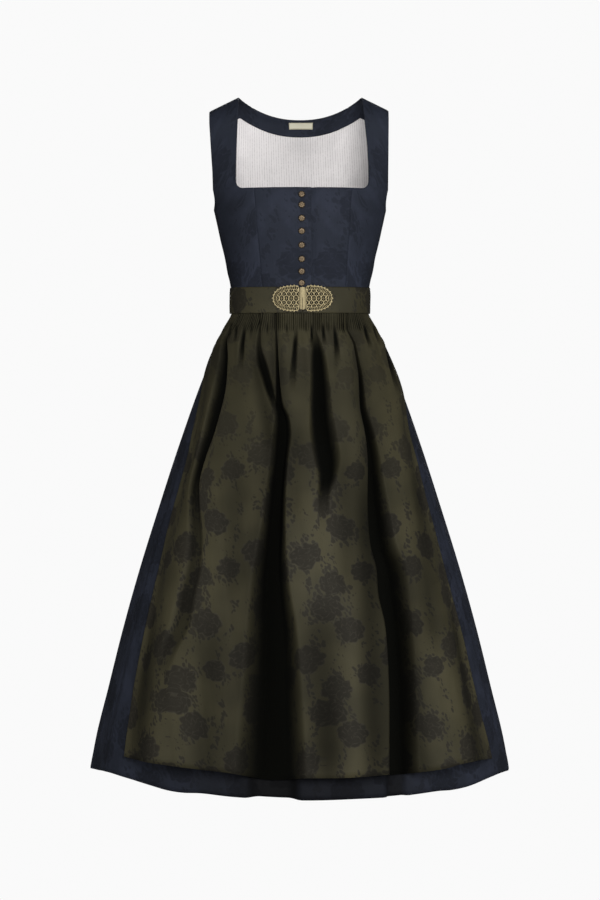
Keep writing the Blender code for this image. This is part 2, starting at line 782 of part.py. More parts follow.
def lining_back(material):
    inset = BODICE_WALL + LINING_GAP
    rows = []
    first_whole = 3
    rows.append([back_pair(c, facing_row(c), LINING_WALL, inset) for c in BACK_COLUMNS])
    for row in range(first_whole, BACK_ROW_COUNT):
        rows.append([back_pair_on_row(c, row, LINING_WALL, inset) for c in BACK_COLUMNS])
    return make_panel("lining_back", rows, material)


def label(material):
    """Small blank label in the middle of the neck facing."""
    inset = BODICE_WALL + LINING_WALL + LINING_GAP + SEAM_GAP
    cell = along(BACK_SEAMS, 0.0, 1) / BACK_CENTRE_CELLS
    rows = []
    for row in LABEL_ROWS:
        line = []
        for x in LABEL_PLACES:
            whole = 1 if x > 0.0 else -1
            middle = back_pair(0, row, LINING_WALL, inset)
            beside = back_pair(whole, row, LINING_WALL, inset)
            line.append(lerp_pair(middle, beside, abs(x) / cell))
        rows.append(line)
    return make_panel("label", rows, material)


def turned_button(name, height, rows, material):
    """Round button with a low flower-shaped dome, seated on the lapping front."""
    angle, depth_angle = bodice_place(BUTTON_X, height)
    normal = bodice_normal(angle, depth_angle, False)
    right = np.cross(np.array((0.0, 0.0, 1.0)), normal)
    right = right / np.linalg.norm(right)
    up = np.cross(normal, right)
    middle = lap_point(rows, BUTTON_X, height)
    rises = [0.0]
    for i in range(BUTTON_SIDES):
        turn = 2.0 * math.pi * i / BUTTON_SIDES
        rim = middle + (right * math.cos(turn) + up * math.sin(turn)) * BUTTON_RADIUS
        rises.append(float(np.dot(lap_point(rows, rim[0], rim[2]) - rim, normal)))
    seat = middle + normal * (max(rises) + SEAM_GAP)
    points = []
    for ring, (reach, rise) in enumerate(BUTTON_RINGS):
        for i in range(BUTTON_SIDES):
            turn = 2.0 * math.pi * i / BUTTON_SIDES
            petal = BUTTON_PETAL_NOTCH if (ring == 2 and i % 2) else 1.0
            flat = right * math.cos(turn) + up * math.sin(turn)
            points.append(seat + flat * BUTTON_RADIUS * reach * petal + normal * BUTTON_HEIGHT * rise)
    polygons = []
    for ring in range(len(BUTTON_RINGS) - 1):
        for i in range(BUTTON_SIDES):
            j = (i + 1) % BUTTON_SIDES
            a = ring * BUTTON_SIDES
            b = a + BUTTON_SIDES
            polygons.append((a + i, a + j, b + j, b + i))
    polygons.append(tuple(reversed(range(BUTTON_SIDES))))
    last = (len(BUTTON_RINGS) - 1) * BUTTON_SIDES
    polygons.append(tuple(range(last, last + BUTTON_SIDES)))
    mesh = bpy.data.meshes.new(name)
    mesh.from_pydata([tuple(float(v) for v in point) for point in points], [], polygons)
    mesh.update()
    for polygon in mesh.polygons:
        polygon.use_smooth = True
    mesh.set_sharp_from_angle(angle=math.radians(40.0))
    item = bpy.data.objects.new(name, mesh)
    item.data.materials.append(material)
    bpy.context.collection.objects.link(item)


def belt_surface(angle, height):
    sizes = [along(BELT_SECTIONS, height, column) for column in (1, 2, 3)]
    across, forward = ring_point(angle, *sizes, BODICE_POWER)
    return np.array((across, forward, height))


def belt_normal(angle, height):
    step = 0.004
    du = belt_surface(angle + step, height) - belt_surface(angle - step, height)
    dv = belt_surface(angle, height - step) - belt_surface(angle, height + step)
    normal = -np.cross(du, dv)
    return normal / np.linalg.norm(normal)


def belt_pair(angle, height, lift, wall):
    point = belt_surface(angle, height)
    normal = belt_normal(angle, height)
    return point + normal * (lift + wall), point + normal * lift


def belt_angle(across, height):
    return section_angle(across, along(BELT_SECTIONS, height, 1), BODICE_POWER)


def belt(material):
    """Open band right round the waist; its ends meet behind the clasp."""
    rows = []
    for height in (BELT_TOP, BELT_BOTTOM):
        start = belt_angle(CLASP_CENTRE[0] + SEAM_GAP / 2.0, height)
        end = belt_angle(CLASP_CENTRE[0] - SEAM_GAP / 2.0, height) + 2.0 * math.pi
        row = []
        for i in range(BELT_CELLS + 1):
            angle = start + (end - start) * i / BELT_CELLS
            row.append(belt_pair(angle, height, -BELT_WALL, BELT_WALL))
        rows.append(row)
    return make_panel("belt", rows, material)


def clasp_outline(turn, straight):
    """Reach of a clasp half from its own middle, cut off straight beside the bar."""
    low = 0.0
    high = CLASP_HALF_LENGTH
    for _ in range(30):
        reach = (low + high) / 2.0
        u = (CLASP_MIDDLE + reach * math.cos(turn)) / CLASP_HALF_LENGTH
        edge = CLASP_HALF_HEIGHT * max(0.0, 1.0 - u ** CLASP_TIP_POWER) ** CLASP_SIDE_POWER
        if abs(reach * math.sin(turn)) < edge:
            low = reach
        else:
            high = reach
    if math.cos(turn) < 0.0:
        low = min(low, straight / -math.cos(turn))
    return low


def clasp_half(name, side, material):
    """Domed oval half, pierced by two rings of openings, with a scalloped rim."""
    straight = CLASP_MIDDLE - CLASP_BAR_HALF_WIDTH - SEAM_GAP
    fine = 2 * CLASP_CELLS
    outer = []
    inner = []
    for ring, share in enumerate(CLASP_RINGS):
        count = fine if ring == len(CLASP_RINGS) - 1 else CLASP_CELLS
        for i in range(count):
            turn = 2.0 * math.pi * i / count
            reach = clasp_outline(turn, straight)
            on_rim = count == fine and math.cos(turn) > CLASP_NOTCH_LIMIT
            notch = CLASP_NOTCH if on_rim and i % 2 == 0 else 1.0
            u = CLASP_MIDDLE + reach * share * notch * math.cos(turn)
            h = reach * share * notch * math.sin(turn)
            height = CLASP_CENTRE[1] + h
            angle = belt_angle(CLASP_CENTRE[0] + side * u, height)
            lift = SEAM_GAP + CLASP_DOME * (1.0 - share * share)
            pair = belt_pair(angle, height, lift, CLASP_WALL)
            outer.append(pair[0])
            inner.append(pair[1])
    angle = belt_angle(CLASP_CENTRE[0] + side * CLASP_MIDDLE, CLASP_CENTRE[1])
    pair = belt_pair(angle, CLASP_CENTRE[1], SEAM_GAP + CLASP_DOME, CLASP_WALL)
    outer.append(pair[0])
    inner.append(pair[1])
    hub = len(outer) - 1
    faces = [(hub, i, (i + 1) % CLASP_CELLS) for i in range(CLASP_CELLS)]
    for ring in range(len(CLASP_RINGS) - 2):
        for i in range(CLASP_CELLS):
            j = (i + 1) % CLASP_CELLS
            if ring == CLASP_LEAF_RING and i % 3 != 1:
                continue
            if ring == CLASP_SLOT_RING and i % 2:
                continue
            a = ring * CLASP_CELLS
            b = a + CLASP_CELLS
            faces.append((a + i, b + i, b + j))
            faces.append((a + i, b + j, a + j))
    a = (len(CLASP_RINGS) - 2) * CLASP_CELLS
    b = a + CLASP_CELLS
    for i in range(CLASP_CELLS):
        j = (i + 1) % CLASP_CELLS
        k = (2 * i + 2) % fine
        faces.append((a + i, b + 2 * i, b + 2 * i + 1))
        faces.append((a + i, b + 2 * i + 1, a + j))
        faces.append((a + j, b + 2 * i + 1, b + k))
    return make_closed_sheet(name, outer, inner, faces, material)


def clasp_bar(material):
    """Upright bar with a rounded face where the halves meet."""
    rows = []
    for share in CLASP_BAR_SHARES:
        height = CLASP_CENTRE[1] + share * CLASP_BAR_HALF_HEIGHT
        row = []
        for i in range(CLASP_BAR_CELLS + 1):
            part = 2.0 * i / CLASP_BAR_CELLS - 1.0
            angle = belt_angle(CLASP_CENTRE[0] + part * CLASP_BAR_HALF_WIDTH, height)
            rise = 1.0 - part * part
            if abs(share) == 1.0:
                rise *= 0.5
            lift = SEAM_GAP + CLASP_FOOT * CLASP_DOME
            outer = belt_pair(angle, height, lift, CLASP_WALL + CLASP_BAR_ROUND * rise)[0]
            row.append((outer, belt_pair(angle, height, lift, 0.0)[0]))
        rows.append(row)
    return make_panel("clasp_bar", rows, material)


def apron_point(angle, height):
    return skirt_base(angle, height) + skirt_normal(angle, height) * apron_lift(angle, height)


def skirt_point(angle, height):
    return skirt_base(angle, height) + skirt_normal(angle, height) * skirt_folds(angle, height)


def cloth_pair(point_at, angle, height, wall):
    """Outer and inner point of a hanging cloth, the wall measured square to the cloth."""
    turn = 0.006
    drop = 0.003
    du = point_at(angle + turn, height) - point_at(angle - turn, height)
    dv = point_at(angle, height - drop) - point_at(angle, height + drop)
    normal = -np.cross(du, dv)
    normal = normal / np.linalg.norm(normal)
    outer = point_at(angle, height)
    return outer, outer - normal * wall


def apron_columns(height):
    """Angles of the apron's columns; they follow the deep folds and draw together at them."""
    right_edge = -math.radians(eased(APRON_EDGES, height, 1))
    left_edge = math.radians(eased(APRON_EDGES, height, 2))
    half_width = eased(SKIRT_SECTIONS, height, 1) + eased(APRON_STANDOFF, height, 1)
    power = eased(SKIRT_SECTIONS, height, 4)
    guides = [right_edge]
    for name in ("right_side", "right_middle", "middle", "left"):
        across = eased(APRON_FOLDS[name], height, 1)
        guides.append(section_angle(across, half_width, power))
    guides.append(left_edge)
    angles = [right_edge]
    for i, cells in enumerate(APRON_SPANS):
        for k in range(1, cells + 1):
            share = k / cells
            share = share - APRON_DRAW * math.sin(2.0 * math.pi * share) / (2.0 * math.pi)
            angles.append(guides[i] + (guides[i + 1] - guides[i]) * share)
    return angles


def apron(material):
    rows = []
    for level in APRON_GATHER_LEVELS:
        coarse = apron_columns(level)
        row = []
        for j in range(len(coarse) - 1):
            for k in range(FINE_CELLS):
                share = k / FINE_CELLS
                angle = coarse[j] + (coarse[j + 1] - coarse[j]) * share
                row.append(gathered_pair(angle, level, len(row)))
        row.append(gathered_pair(coarse[-1], level, len(row)))
        rows.append(row)
    for level in APRON_LEVELS:
        row = []
        for angle in apron_columns(level):
            edge = APRON_EDGES[-1][1 if angle < 0.0 else 2]
            side_share = ease(abs(angle) / math.radians(edge))
            hem = APRON_HEM_MIDDLE + (APRON_HEM_SIDE - APRON_HEM_MIDDLE) * side_share
            fall = (APRON_LEVELS[0] - level) / (APRON_LEVELS[0] - APRON_LEVELS[-1])
            height = APRON_LEVELS[0] + (hem - APRON_LEVELS[0]) * fall
            row.append(cloth_pair(apron_point, angle, height, APRON_WALL))
        rows.append(row)
    return make_panel("apron", rows, material)


def gathered_pair(angle, level, index):
    """Pair of points in the shirred band, in and out by turns."""
    base = skirt_base(angle, level)
    normal = skirt_normal(angle, level)
    lift = eased(APRON_STANDOFF, level, 1) + (GATHER_DEPTH if index % 2 else -GATHER_DEPTH)
    outer = base + normal * lift
    return outer, outer - normal * APRON_WALL


def skirt_panel(name, start, end, cells, material):
    """Skirt width between two seams, in degrees from the front."""
    middle = (start + end) / 2.0
    shift_y = -SEAM_GAP / 2.0 if abs(middle) < 90.0 else SEAM_GAP / 2.0
    shift_x = math.copysign(SEAM_GAP / 2.0, middle) if abs(middle) > 90.0 else 0.0
    move = np.array((shift_x, shift_y, 0.0))
    rows = []
    for height in SKIRT_LEVELS:
        row = []
        for i in range(cells + 1):
            angle = math.radians(start + (end - start) * i / cells)
            outer, inner = cloth_pair(skirt_point, angle, height, SKIRT_WALL)
            row.append((outer + move, inner + move))
        rows.append(row)
    return make_panel(name, rows, material)


def build():
    clear_scene()
    navy = make_material("navy_cloth", "navy")
    olive = make_material("olive_cloth", "olive")
    pale = make_material("pale_lining", "pale")
    cream = make_material("cream_label", "cream")
    gold = make_material("pale_gold_metal", "pale_gold")
    brass = make_material("old_brass_metal", "old_brass")
    front_centre_right(navy)
    front_centre_left(navy)
    front_side("front_side_right", -1, navy)
    front_side("front_side_left", 1, navy)
    back_centre(navy)
    back_side("back_side_right", -1, navy)
    back_side("back_side_left", 1, navy)
    lining_back(pale)
    facing_neck(navy)
    label(cream)
    rows = lap_rows()
    for number, height in enumerate(BUTTON_HEIGHTS, start=1):
        turned_button("button_%d" % number, height, rows, brass)
    belt(olive)
    clasp_half("clasp_right", -1, gold)
    clasp_half("clasp_left", 1, gold)
    clasp_bar(gold)
    apron(olive)
    skirt_panel("skirt_front", -90.0, 90.0, SKIRT_FRONT_CELLS, navy)
    skirt_panel("skirt_back_left", 90.0, 180.0, SKIRT_BACK_CELLS, navy)
    skirt_panel("skirt_back_right", -180.0, -90.0, SKIRT_BACK_CELLS, navy)


build()
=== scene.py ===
# Dirndl with apron, belt and clasp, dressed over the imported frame. Metres, +Z up, the front faces -Y.
import math
from functools import partialmethod
import bpy
import numpy as np
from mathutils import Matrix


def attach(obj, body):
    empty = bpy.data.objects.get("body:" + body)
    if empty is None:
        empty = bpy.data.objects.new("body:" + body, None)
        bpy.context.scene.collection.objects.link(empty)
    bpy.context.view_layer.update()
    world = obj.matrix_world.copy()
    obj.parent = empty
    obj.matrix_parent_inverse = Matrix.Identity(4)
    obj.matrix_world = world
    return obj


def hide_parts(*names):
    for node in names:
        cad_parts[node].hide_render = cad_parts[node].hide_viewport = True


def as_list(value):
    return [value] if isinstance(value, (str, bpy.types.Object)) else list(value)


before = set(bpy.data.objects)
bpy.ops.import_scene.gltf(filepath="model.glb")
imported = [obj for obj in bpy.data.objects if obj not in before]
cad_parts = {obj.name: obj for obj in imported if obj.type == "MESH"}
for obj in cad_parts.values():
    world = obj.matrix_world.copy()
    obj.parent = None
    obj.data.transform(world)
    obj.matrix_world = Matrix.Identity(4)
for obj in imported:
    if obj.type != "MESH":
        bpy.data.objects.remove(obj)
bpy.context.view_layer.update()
print("frame loaded")


# Camera at the photograph's viewing angle

cameraSetup = {
    "distance": 4.36,        # from the middle of the dress
    "height": -0.4536,       # level with the lower edge of the shirring
    "frameHeight": 1.62,     # what the frame takes in at the middle of the dress
    "frameTop": 0.1764,      # top edge of the frame
}


def makeCamera():
    data = bpy.data.cameras.new("camera")
    data.sensor_fit = "VERTICAL"
    data.sensor_height = 24.0
    data.lens = data.sensor_height * cameraSetup["distance"] / cameraSetup["frameHeight"]
    middle = cameraSetup["frameTop"] - cameraSetup["frameHeight"] / 2.0
    data.shift_y = (middle - cameraSetup["height"]) / cameraSetup["frameHeight"]
    camera = bpy.data.objects.new("camera", data)
    camera.location = (0.0, -cameraSetup["distance"], cameraSetup["height"])
    camera.rotation_euler = (math.pi / 2.0, 0.0, 0.0)
    bpy.context.collection.objects.link(camera)
    bpy.context.scene.camera = camera


makeCamera()


# Shared shape helpers, all of them work on whole arrays at once

def curveOf(table, column):
    # Smooth curve through one column of a table whose first column is the place
    rows = sorted(table, key=lambda row: row[0])
    keys = np.array([row[0] for row in rows])
    values = np.array([row[column] for row in rows])
    slopes = np.empty(len(rows))
    slopes[1:-1] = (values[2:] - values[:-2]) / (keys[2:] - keys[:-2])
    slopes[0] = (values[1] - values[0]) / (keys[1] - keys[0])
    slopes[-1] = (values[-1] - values[-2]) / (keys[-1] - keys[-2])

    def read(place):
        place = np.clip(np.asarray(place, dtype=float), keys[0], keys[-1])
        index = np.clip(np.searchsorted(keys, place, side="right") - 1, 0, len(keys) - 2)
        span = keys[index + 1] - keys[index]
        t = (place - keys[index]) / span
        t2 = t * t
        t3 = t2 * t
        start = (2 * t3 - 3 * t2 + 1) * values[index] + (t3 - 2 * t2 + t) * slopes[index] * span
        end = (3 * t2 - 2 * t3) * values[index + 1] + (t3 - t2) * slopes[index + 1] * span
        return start + end

    return read


def lineOf(table, column):
    rows = sorted(table, key=lambda row: row[0])
    keys = [row[0] for row in rows]
    values = [row[column] for row in rows]
    return lambda place: np.interp(place, keys, values)


def readersOf(table, kind=curveOf):
    # One reader for each column after the first
    return [kind(table, column) for column in range(1, len(table[0]))]


def ease(value):
    value = np.clip(value, 0.0, 1.0)
    return value * value * (3.0 - 2.0 * value)


def bell(value):
    return np.exp(-value * value)


def signedPower(value, power):
    return np.sign(value) * np.abs(value) ** power


def sectionAngle(across, halfWidth, power):
    share = np.clip(np.abs(across) / halfWidth, 0.0, 1.0)
    return np.sign(across) * np.arcsin(share ** (power / 2.0))


def stack(x, y, z):
    return np.stack(np.broadcast_arrays(x, y, z), axis=-1)


def unit(vectors):
    return vectors / np.maximum(np.linalg.norm(vectors, axis=-1, keepdims=True), 1e-12)


def squareTo(pointAt, a, b, stepA, stepB):
    # Outward direction of a surface whose first value runs to the wearer's left and second value runs down
    along = pointAt(a + stepA, b) - pointAt(a - stepA, b)
    down = pointAt(a, b + stepB) - pointAt(a, b - stepB)
    return unit(-np.cross(along, down))


def waves(x, seed, count, longest, shortest):
    # Uneven smooth wave made of a few sines, the same on each run
    rng = np.random.default_rng(seed)
    total = np.zeros_like(np.asarray(x, dtype=float))
    for i in range(count):
        length = longest * (shortest / longest) ** (i / (count - 1))
        total = total + np.sin(2.0 * math.pi * (x / length + rng.random())) / (1.0 + 0.6 * i)
    return total / count ** 0.5


def arcLengths(points, axis):
    # Length along each row (axis 1) or column (axis 0), from its start
    steps = np.linalg.norm(np.diff(points, axis=axis), axis=-1)
    shape = list(points.shape[:2])
    shape[axis] = 1
    return np.concatenate([np.zeros(shape), np.cumsum(steps, axis=axis)], axis=axis)


# Meshes

def linkMesh(name, mesh, material):
    item = bpy.data.objects.new(name, mesh)
    mesh.materials.append(material)
    bpy.context.collection.objects.link(item)
    return item


def makeSheet(name, points, flat, wall, material, keep=None, marks=None, flip=False):
    # Cloth through a grid of points; flat holds each point's place on the cut cloth
    rows, columns = points.shape[:2]
    index = np.arange(rows * columns).reshape(rows, columns)
    corners = [index[:-1, :-1], index[1:, :-1], index[1:, 1:], index[:-1, 1:]]
    quads = np.stack(corners[::-1] if flip else corners, axis=-1).reshape(-1, 4)
    if keep is not None:
        quads = quads[keep.reshape(-1)]
    used = np.unique(quads)
    number = np.full(rows * columns, -1)
    number[used] = np.arange(len(used))
    quads = number[quads]
    mesh = bpy.data.meshes.new(name)
    mesh.from_pydata(points.reshape(-1, 3)[used].tolist(), [], quads.tolist())
    layer = mesh.uv_layers.new(name="cut")
    places = flat.reshape(-1, 2)[used]
    layer.data.foreach_set("uv", places[quads.reshape(-1)].reshape(-1))
    for label, values in (marks or {}).items():
        values = np.broadcast_to(values, points.shape[:2]).reshape(-1)[used]
        mesh.attributes.new(label, "FLOAT", "POINT").data.foreach_set("value", values.astype(np.float32))
    mesh.shade_smooth()
    mesh.update()
    item = linkMesh(name, mesh, material)
    thickness = item.modifiers.new("thickness", "SOLIDIFY")
    thickness.thickness = wall
    thickness.offset = -1.0
    thickness.use_rim = True
    return item


def settle(item, replaced):
    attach(item, "root")
    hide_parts(replaced)


def gridArea(points, keep=None):
    corner = points[:-1, :-1]
    across = points[1:, 1:] - corner
    halves = [np.cross(points[1:, :-1] - corner, across), np.cross(across, points[:-1, 1:] - corner)]
    cells = 0.5 * sum(np.linalg.norm(half, axis=-1) for half in halves)
    return float((cells if keep is None else cells * keep).sum())


# Bodice form: straps over a rounded shoulder, bust in front, down to the waist seam

bodice = {
    "wall": 0.0016,
    "seamGap": 0.00006,
    "lapGap": 0.0009,
    "power": 2.3,                # 2 is an ellipse, more is boxier
    "strapInner": 0.110,
    "shoulderSlope": 0.49,
    "shoulderRound": 0.045,
    "neckFront": -0.168,
    "neckBack": -0.034,
    "neckCorner": 0.0125,        # radius of the two neckline corners
    "armholeFoot": -0.203,
    "waist": -0.3645,
    "placketEdge": 0.0195,
    "underlap": 0.028,
    "backWall": 0.0012,
    "seamHollow": (0.0009, 0.0016),            # depth and half width of the dip along a seam
    "stitchHollow": (0.0003, 0.0050, 0.0010),  # depth, distance from the edge, half width
    "neckStitch": (0.0003, 0.0050, 0.0009),
    "lapStitch": (0.00035, 0.0055, 0.0009),
    "lapHollow": (0.0004, 0.0010),
    "wrinkles": (0.00060, 0.00035, 0.00035),   # slantwise at the waist, at the bust, upright
    "sideShade": {1: 0.05, -1: 0.19},          # how much painted shade darkens the side fronts, wearer's left and right
    # depth below the shoulder line, half width, depth to the front, depth to the back
    "sections": (
        (0.0, 0.205, 0.064, 0.062), (0.045, 0.188, 0.072, 0.073), (0.1, 0.174, 0.09, 0.088),
        (0.15, 0.1625, 0.104, 0.094), (0.177, 0.1545, 0.111, 0.094), (0.21, 0.1476, 0.117, 0.092),
        (0.242, 0.1413, 0.113, 0.088), (0.275, 0.1341, 0.105, 0.084), (0.307, 0.1287, 0.0968, 0.081),
        (0.322, 0.1252, 0.0932, 0.0797), (0.336, 0.123, 0.0906, 0.0788), (0.366, 0.1208, 0.088, 0.078),
    ),
    # height, place of the front seam on the wearer's right, on the left
    "frontSeams": (
        (-0.16, 0.0815, 0.0915), (-0.252, 0.074, 0.0862), (-0.366, 0.064, 0.079),
    ),
    # height, distance of the back seam from the middle
    "backSeams": (
        (-0.005, 0.088), (-0.15, 0.072), (-0.25, 0.056), (-0.366, 0.044),
    ),
    # height, inner edge of the right strap, of the left one, outer edge of the right strap, of the left one
    "strapEdges": (
        (0.0, 0.11, 0.11, 0.162, 0.158), (-0.03, 0.11, 0.113, 0.161, 0.1574),
        (-0.09, 0.112, 0.119, 0.1575, 0.1566), (-0.13, 0.1128, 0.1208, 0.155, 0.1561),
        (-0.168, 0.1128, 0.1208, 0.154, 0.1558),
    ),
}

bodiceHalfWidth, bodiceFront, bodiceBack = readersOf(bodice["sections"])
seamRight, seamLeft = readersOf(bodice["frontSeams"], lineOf)
seamBack = lineOf(bodice["backSeams"], 1)
strapInnerRight, strapInnerLeft, strapOuterRight, strapOuterLeft = readersOf(bodice["strapEdges"], lineOf)
neckLevel = bodice["neckFront"]
halfSeam = bodice["seamGap"] / 2.0
quarter = math.pi / 2.0


def strapOuter(side, height):
    # side is 1 on the wearer's left and -1 on the right
    return np.where(side > 0, strapOuterLeft(height), strapOuterRight(height))


def shoulderLine(across):
    return -bodice["shoulderSlope"] * np.maximum(0.0, np.abs(across) - bodice["strapInner"])


def bodiceSurface(angle, turn, back=False):
    # turn runs from 0 on the shoulder to a quarter circle, and straight on down past it
    bend = bodice["shoulderRound"]
    over = turn < quarter
    depth = np.where(over, bend * (1.0 - np.cos(turn)), bend * (1.0 + turn - quarter))
    rounding = np.where(over, np.sin(turn), 1.0)
    reach = (bodiceBack if back else bodiceFront)(depth) * rounding
    across = bodiceHalfWidth(depth) * signedPower(np.sin(angle), 2.0 / bodice["power"])
    forward = reach * np.abs(np.cos(angle)) ** (2.0 / bodice["power"])
    return stack(across, forward if back else -forward, shoulderLine(across) - depth)


def bodiceOutward(angle, turn, back=False):
    outward = squareTo(lambda a, b: bodiceSurface(a, b, back), angle, turn, 0.004, 0.004)
    return -outward if back else outward


def bodicePlace(across, height):
    bend = bodice["shoulderRound"]
    depth = np.maximum(0.0, shoulderLine(across) - height)
    turn = np.where(depth < bend, np.arccos(1.0 - np.minimum(depth, bend) / bend), quarter + depth / bend - 1.0)
    return sectionAngle(across, bodiceHalfWidth(depth), bodice["power"]), turn


def turnAt(angle, height):
    depth = -height
    for _ in range(8):
        across = bodiceHalfWidth(depth) * np.abs(np.sin(angle)) ** (2.0 / bodice["power"])
        depth = shoulderLine(across) - height
    return quarter + depth / bodice["shoulderRound"] - 1.0


def armholeAngle(side, height):
    start = bodicePlace(strapOuter(side, neckLevel), neckLevel)[0]
    share = np.clip((neckLevel - height) / (neckLevel - bodice["armholeFoot"]), 0.0, 1.0)
    return quarter - (quarter - start) * np.sqrt(1.0 - share * share)


def edgeShares(count, crowd=0.7):
    # Shares from 0 to 1 that crowd together at both ends, where the seams are
    share = np.linspace(0.0, 1.0, count)
    return share * (1.0 - crowd) + crowd * (0.5 - 0.5 * np.cos(math.pi * share))


def bodiceWrinkles(points, seed):
    # Slight drag of the cloth: soft ripples that run slantwise to the waist and the bust
    x = points[..., 0]
    z = points[..., 2]
    slant = waves(z + 0.35 * x, seed, 4, 0.070, 0.022) * bell((z + 0.330) / 0.045)
    bust = waves(z - 0.8 * np.abs(x), seed + 1, 3, 0.060, 0.030) * bell((z + 0.215) / 0.040)
    upright = waves(x + 0.15 * z, seed + 2, 3, 0.060, 0.025) * bell((z + 0.300) / 0.060)
    return sum(depth * wave for depth, wave in zip(bodice["wrinkles"], (slant, bust, upright)))


def placePanel(name, angle, turn, back, lift, material, replaced, keep=None, wall=None,
               nudge=0.0, flip=False, shade=None):
    # Panel on the bodice form, lifted by so much square to the form; gives the piece and its area
    base = bodiceSurface(angle, turn, back)
    outward = bodiceOutward(angle, turn, back)
    if callable(lift):
        lift = lift(base)
    points = base + outward * np.asarray(lift)[..., None]
    points[..., 1] += halfSeam if back else -halfSeam
    points[..., 0] += nudge
    widths = arcLengths(base, 1)
    flat = np.stack([widths - widths[:, -1:] / 2.0 + nudge, -arcLengths(base, 0)], axis=-1)
    marks = {"paintedShade": shade(base)} if shade else None
    item = makeSheet(name, points, flat, wall or bodice["wall"], material, keep, marks, flip=back == flip)
    settle(item, replaced)
    return item, gridArea(points, keep)


# Bodice panels

def seamDip(distance, hollow=bodice["seamHollow"]):
    # Hollow along a seam
    depth, width = hollow
    return -depth * bell(distance / width)


def stitchDip(distance, hollow=bodice["stitchHollow"]):
    # Narrow hollow of a row of stitches, so far in from an edge
    depth, inset, width = hollow
    return -depth * bell((distance - inset) / width)


def gapTo(points, line):
    # Distance of each point from the matching point of an edge or a seam
    return np.linalg.norm(points - line, axis=-1)


def frontLap(material):
    # Wearer's right centre front, which laps over and carries the buttons
    heights = np.linspace(neckLevel, bodice["waist"], 80)[:, None]
    start = -seamRight(heights) + halfSeam
    across = start + (bodice["placketEdge"] - start) * edgeShares(64)[None, :]
    angle, turn = bodicePlace(across, heights)

    def lift(base):
        room = bodice["placketEdge"] - across
        stitched = stitchDip(room, bodice["lapStitch"]) + stitchDip(neckLevel - heights, bodice["neckStitch"])
        return seamDip(across - start) + seamDip(room, bodice["lapHollow"]) + stitched + bodiceWrinkles(base, 11)

    return placePanel("frontLap", angle, turn, False, lift, material, "front_centre_right")


def frontUnder(material):
    # Wearer's left centre front, which passes under the lap
    heights = np.linspace(neckLevel, bodice["waist"], 80)[:, None]
    edge = bodice["placketEdge"]
    seam = seamLeft(heights) - halfSeam
    stepEnd = edge + 0.012
    under = np.linspace(edge - bodice["underlap"], edge - 0.002, 10)
    hidden = np.concatenate([under, np.linspace(edge, stepEnd, 14)])
    share = 1.0 - (1.0 - np.linspace(0.0, 1.0, 46)[1:]) ** 1.25
    shown = stepEnd + (seam - stepEnd) * share[None, :]
    across = np.concatenate([np.broadcast_to(hidden, (len(heights), len(hidden))), shown], axis=1)
    angle, turn = bodicePlace(across, heights)

    def lift(base):
        sink = -(bodice["wall"] + bodice["lapGap"]) * ease((stepEnd - across) / (stepEnd - edge - 0.001))
        calm = ease((across - edge) / 0.012)
        stitched = stitchDip(neckLevel - heights, bodice["neckStitch"])
        return sink + seamDip(seam - across) + calm * (stitched + bodiceWrinkles(base, 17))

    return placePanel("frontUnder", angle, turn, False, lift, material, "front_centre_left")


def roundCorner(across, heights, corner):
    # Moves the points near the neckline's corner so that its edge follows an arc
    radius = bodice["neckCorner"]
    onFoot = heights < neckLevel + 1e-6
    near = np.clip(np.where(onFoot, corner - across, heights - neckLevel) / radius, 0.0, 1.0)
    turn = quarter / 2.0 + np.where(onFoot, -1.0, 1.0) * near * quarter / 2.0
    straightX = np.where(onFoot, corner - near * radius, corner)
    straightZ = np.where(onFoot, neckLevel, neckLevel + near * radius)
    moveX = corner - radius + radius * np.sin(turn) - straightX
    moveZ = neckLevel + radius - radius * np.cos(turn) - straightZ
    away = np.hypot(np.maximum(0.0, across - corner), np.maximum(0.0, neckLevel - heights))
    fade = 1.0 - ease(away / (2.2 * radius))
    return across + moveX * fade, heights + moveZ * fade


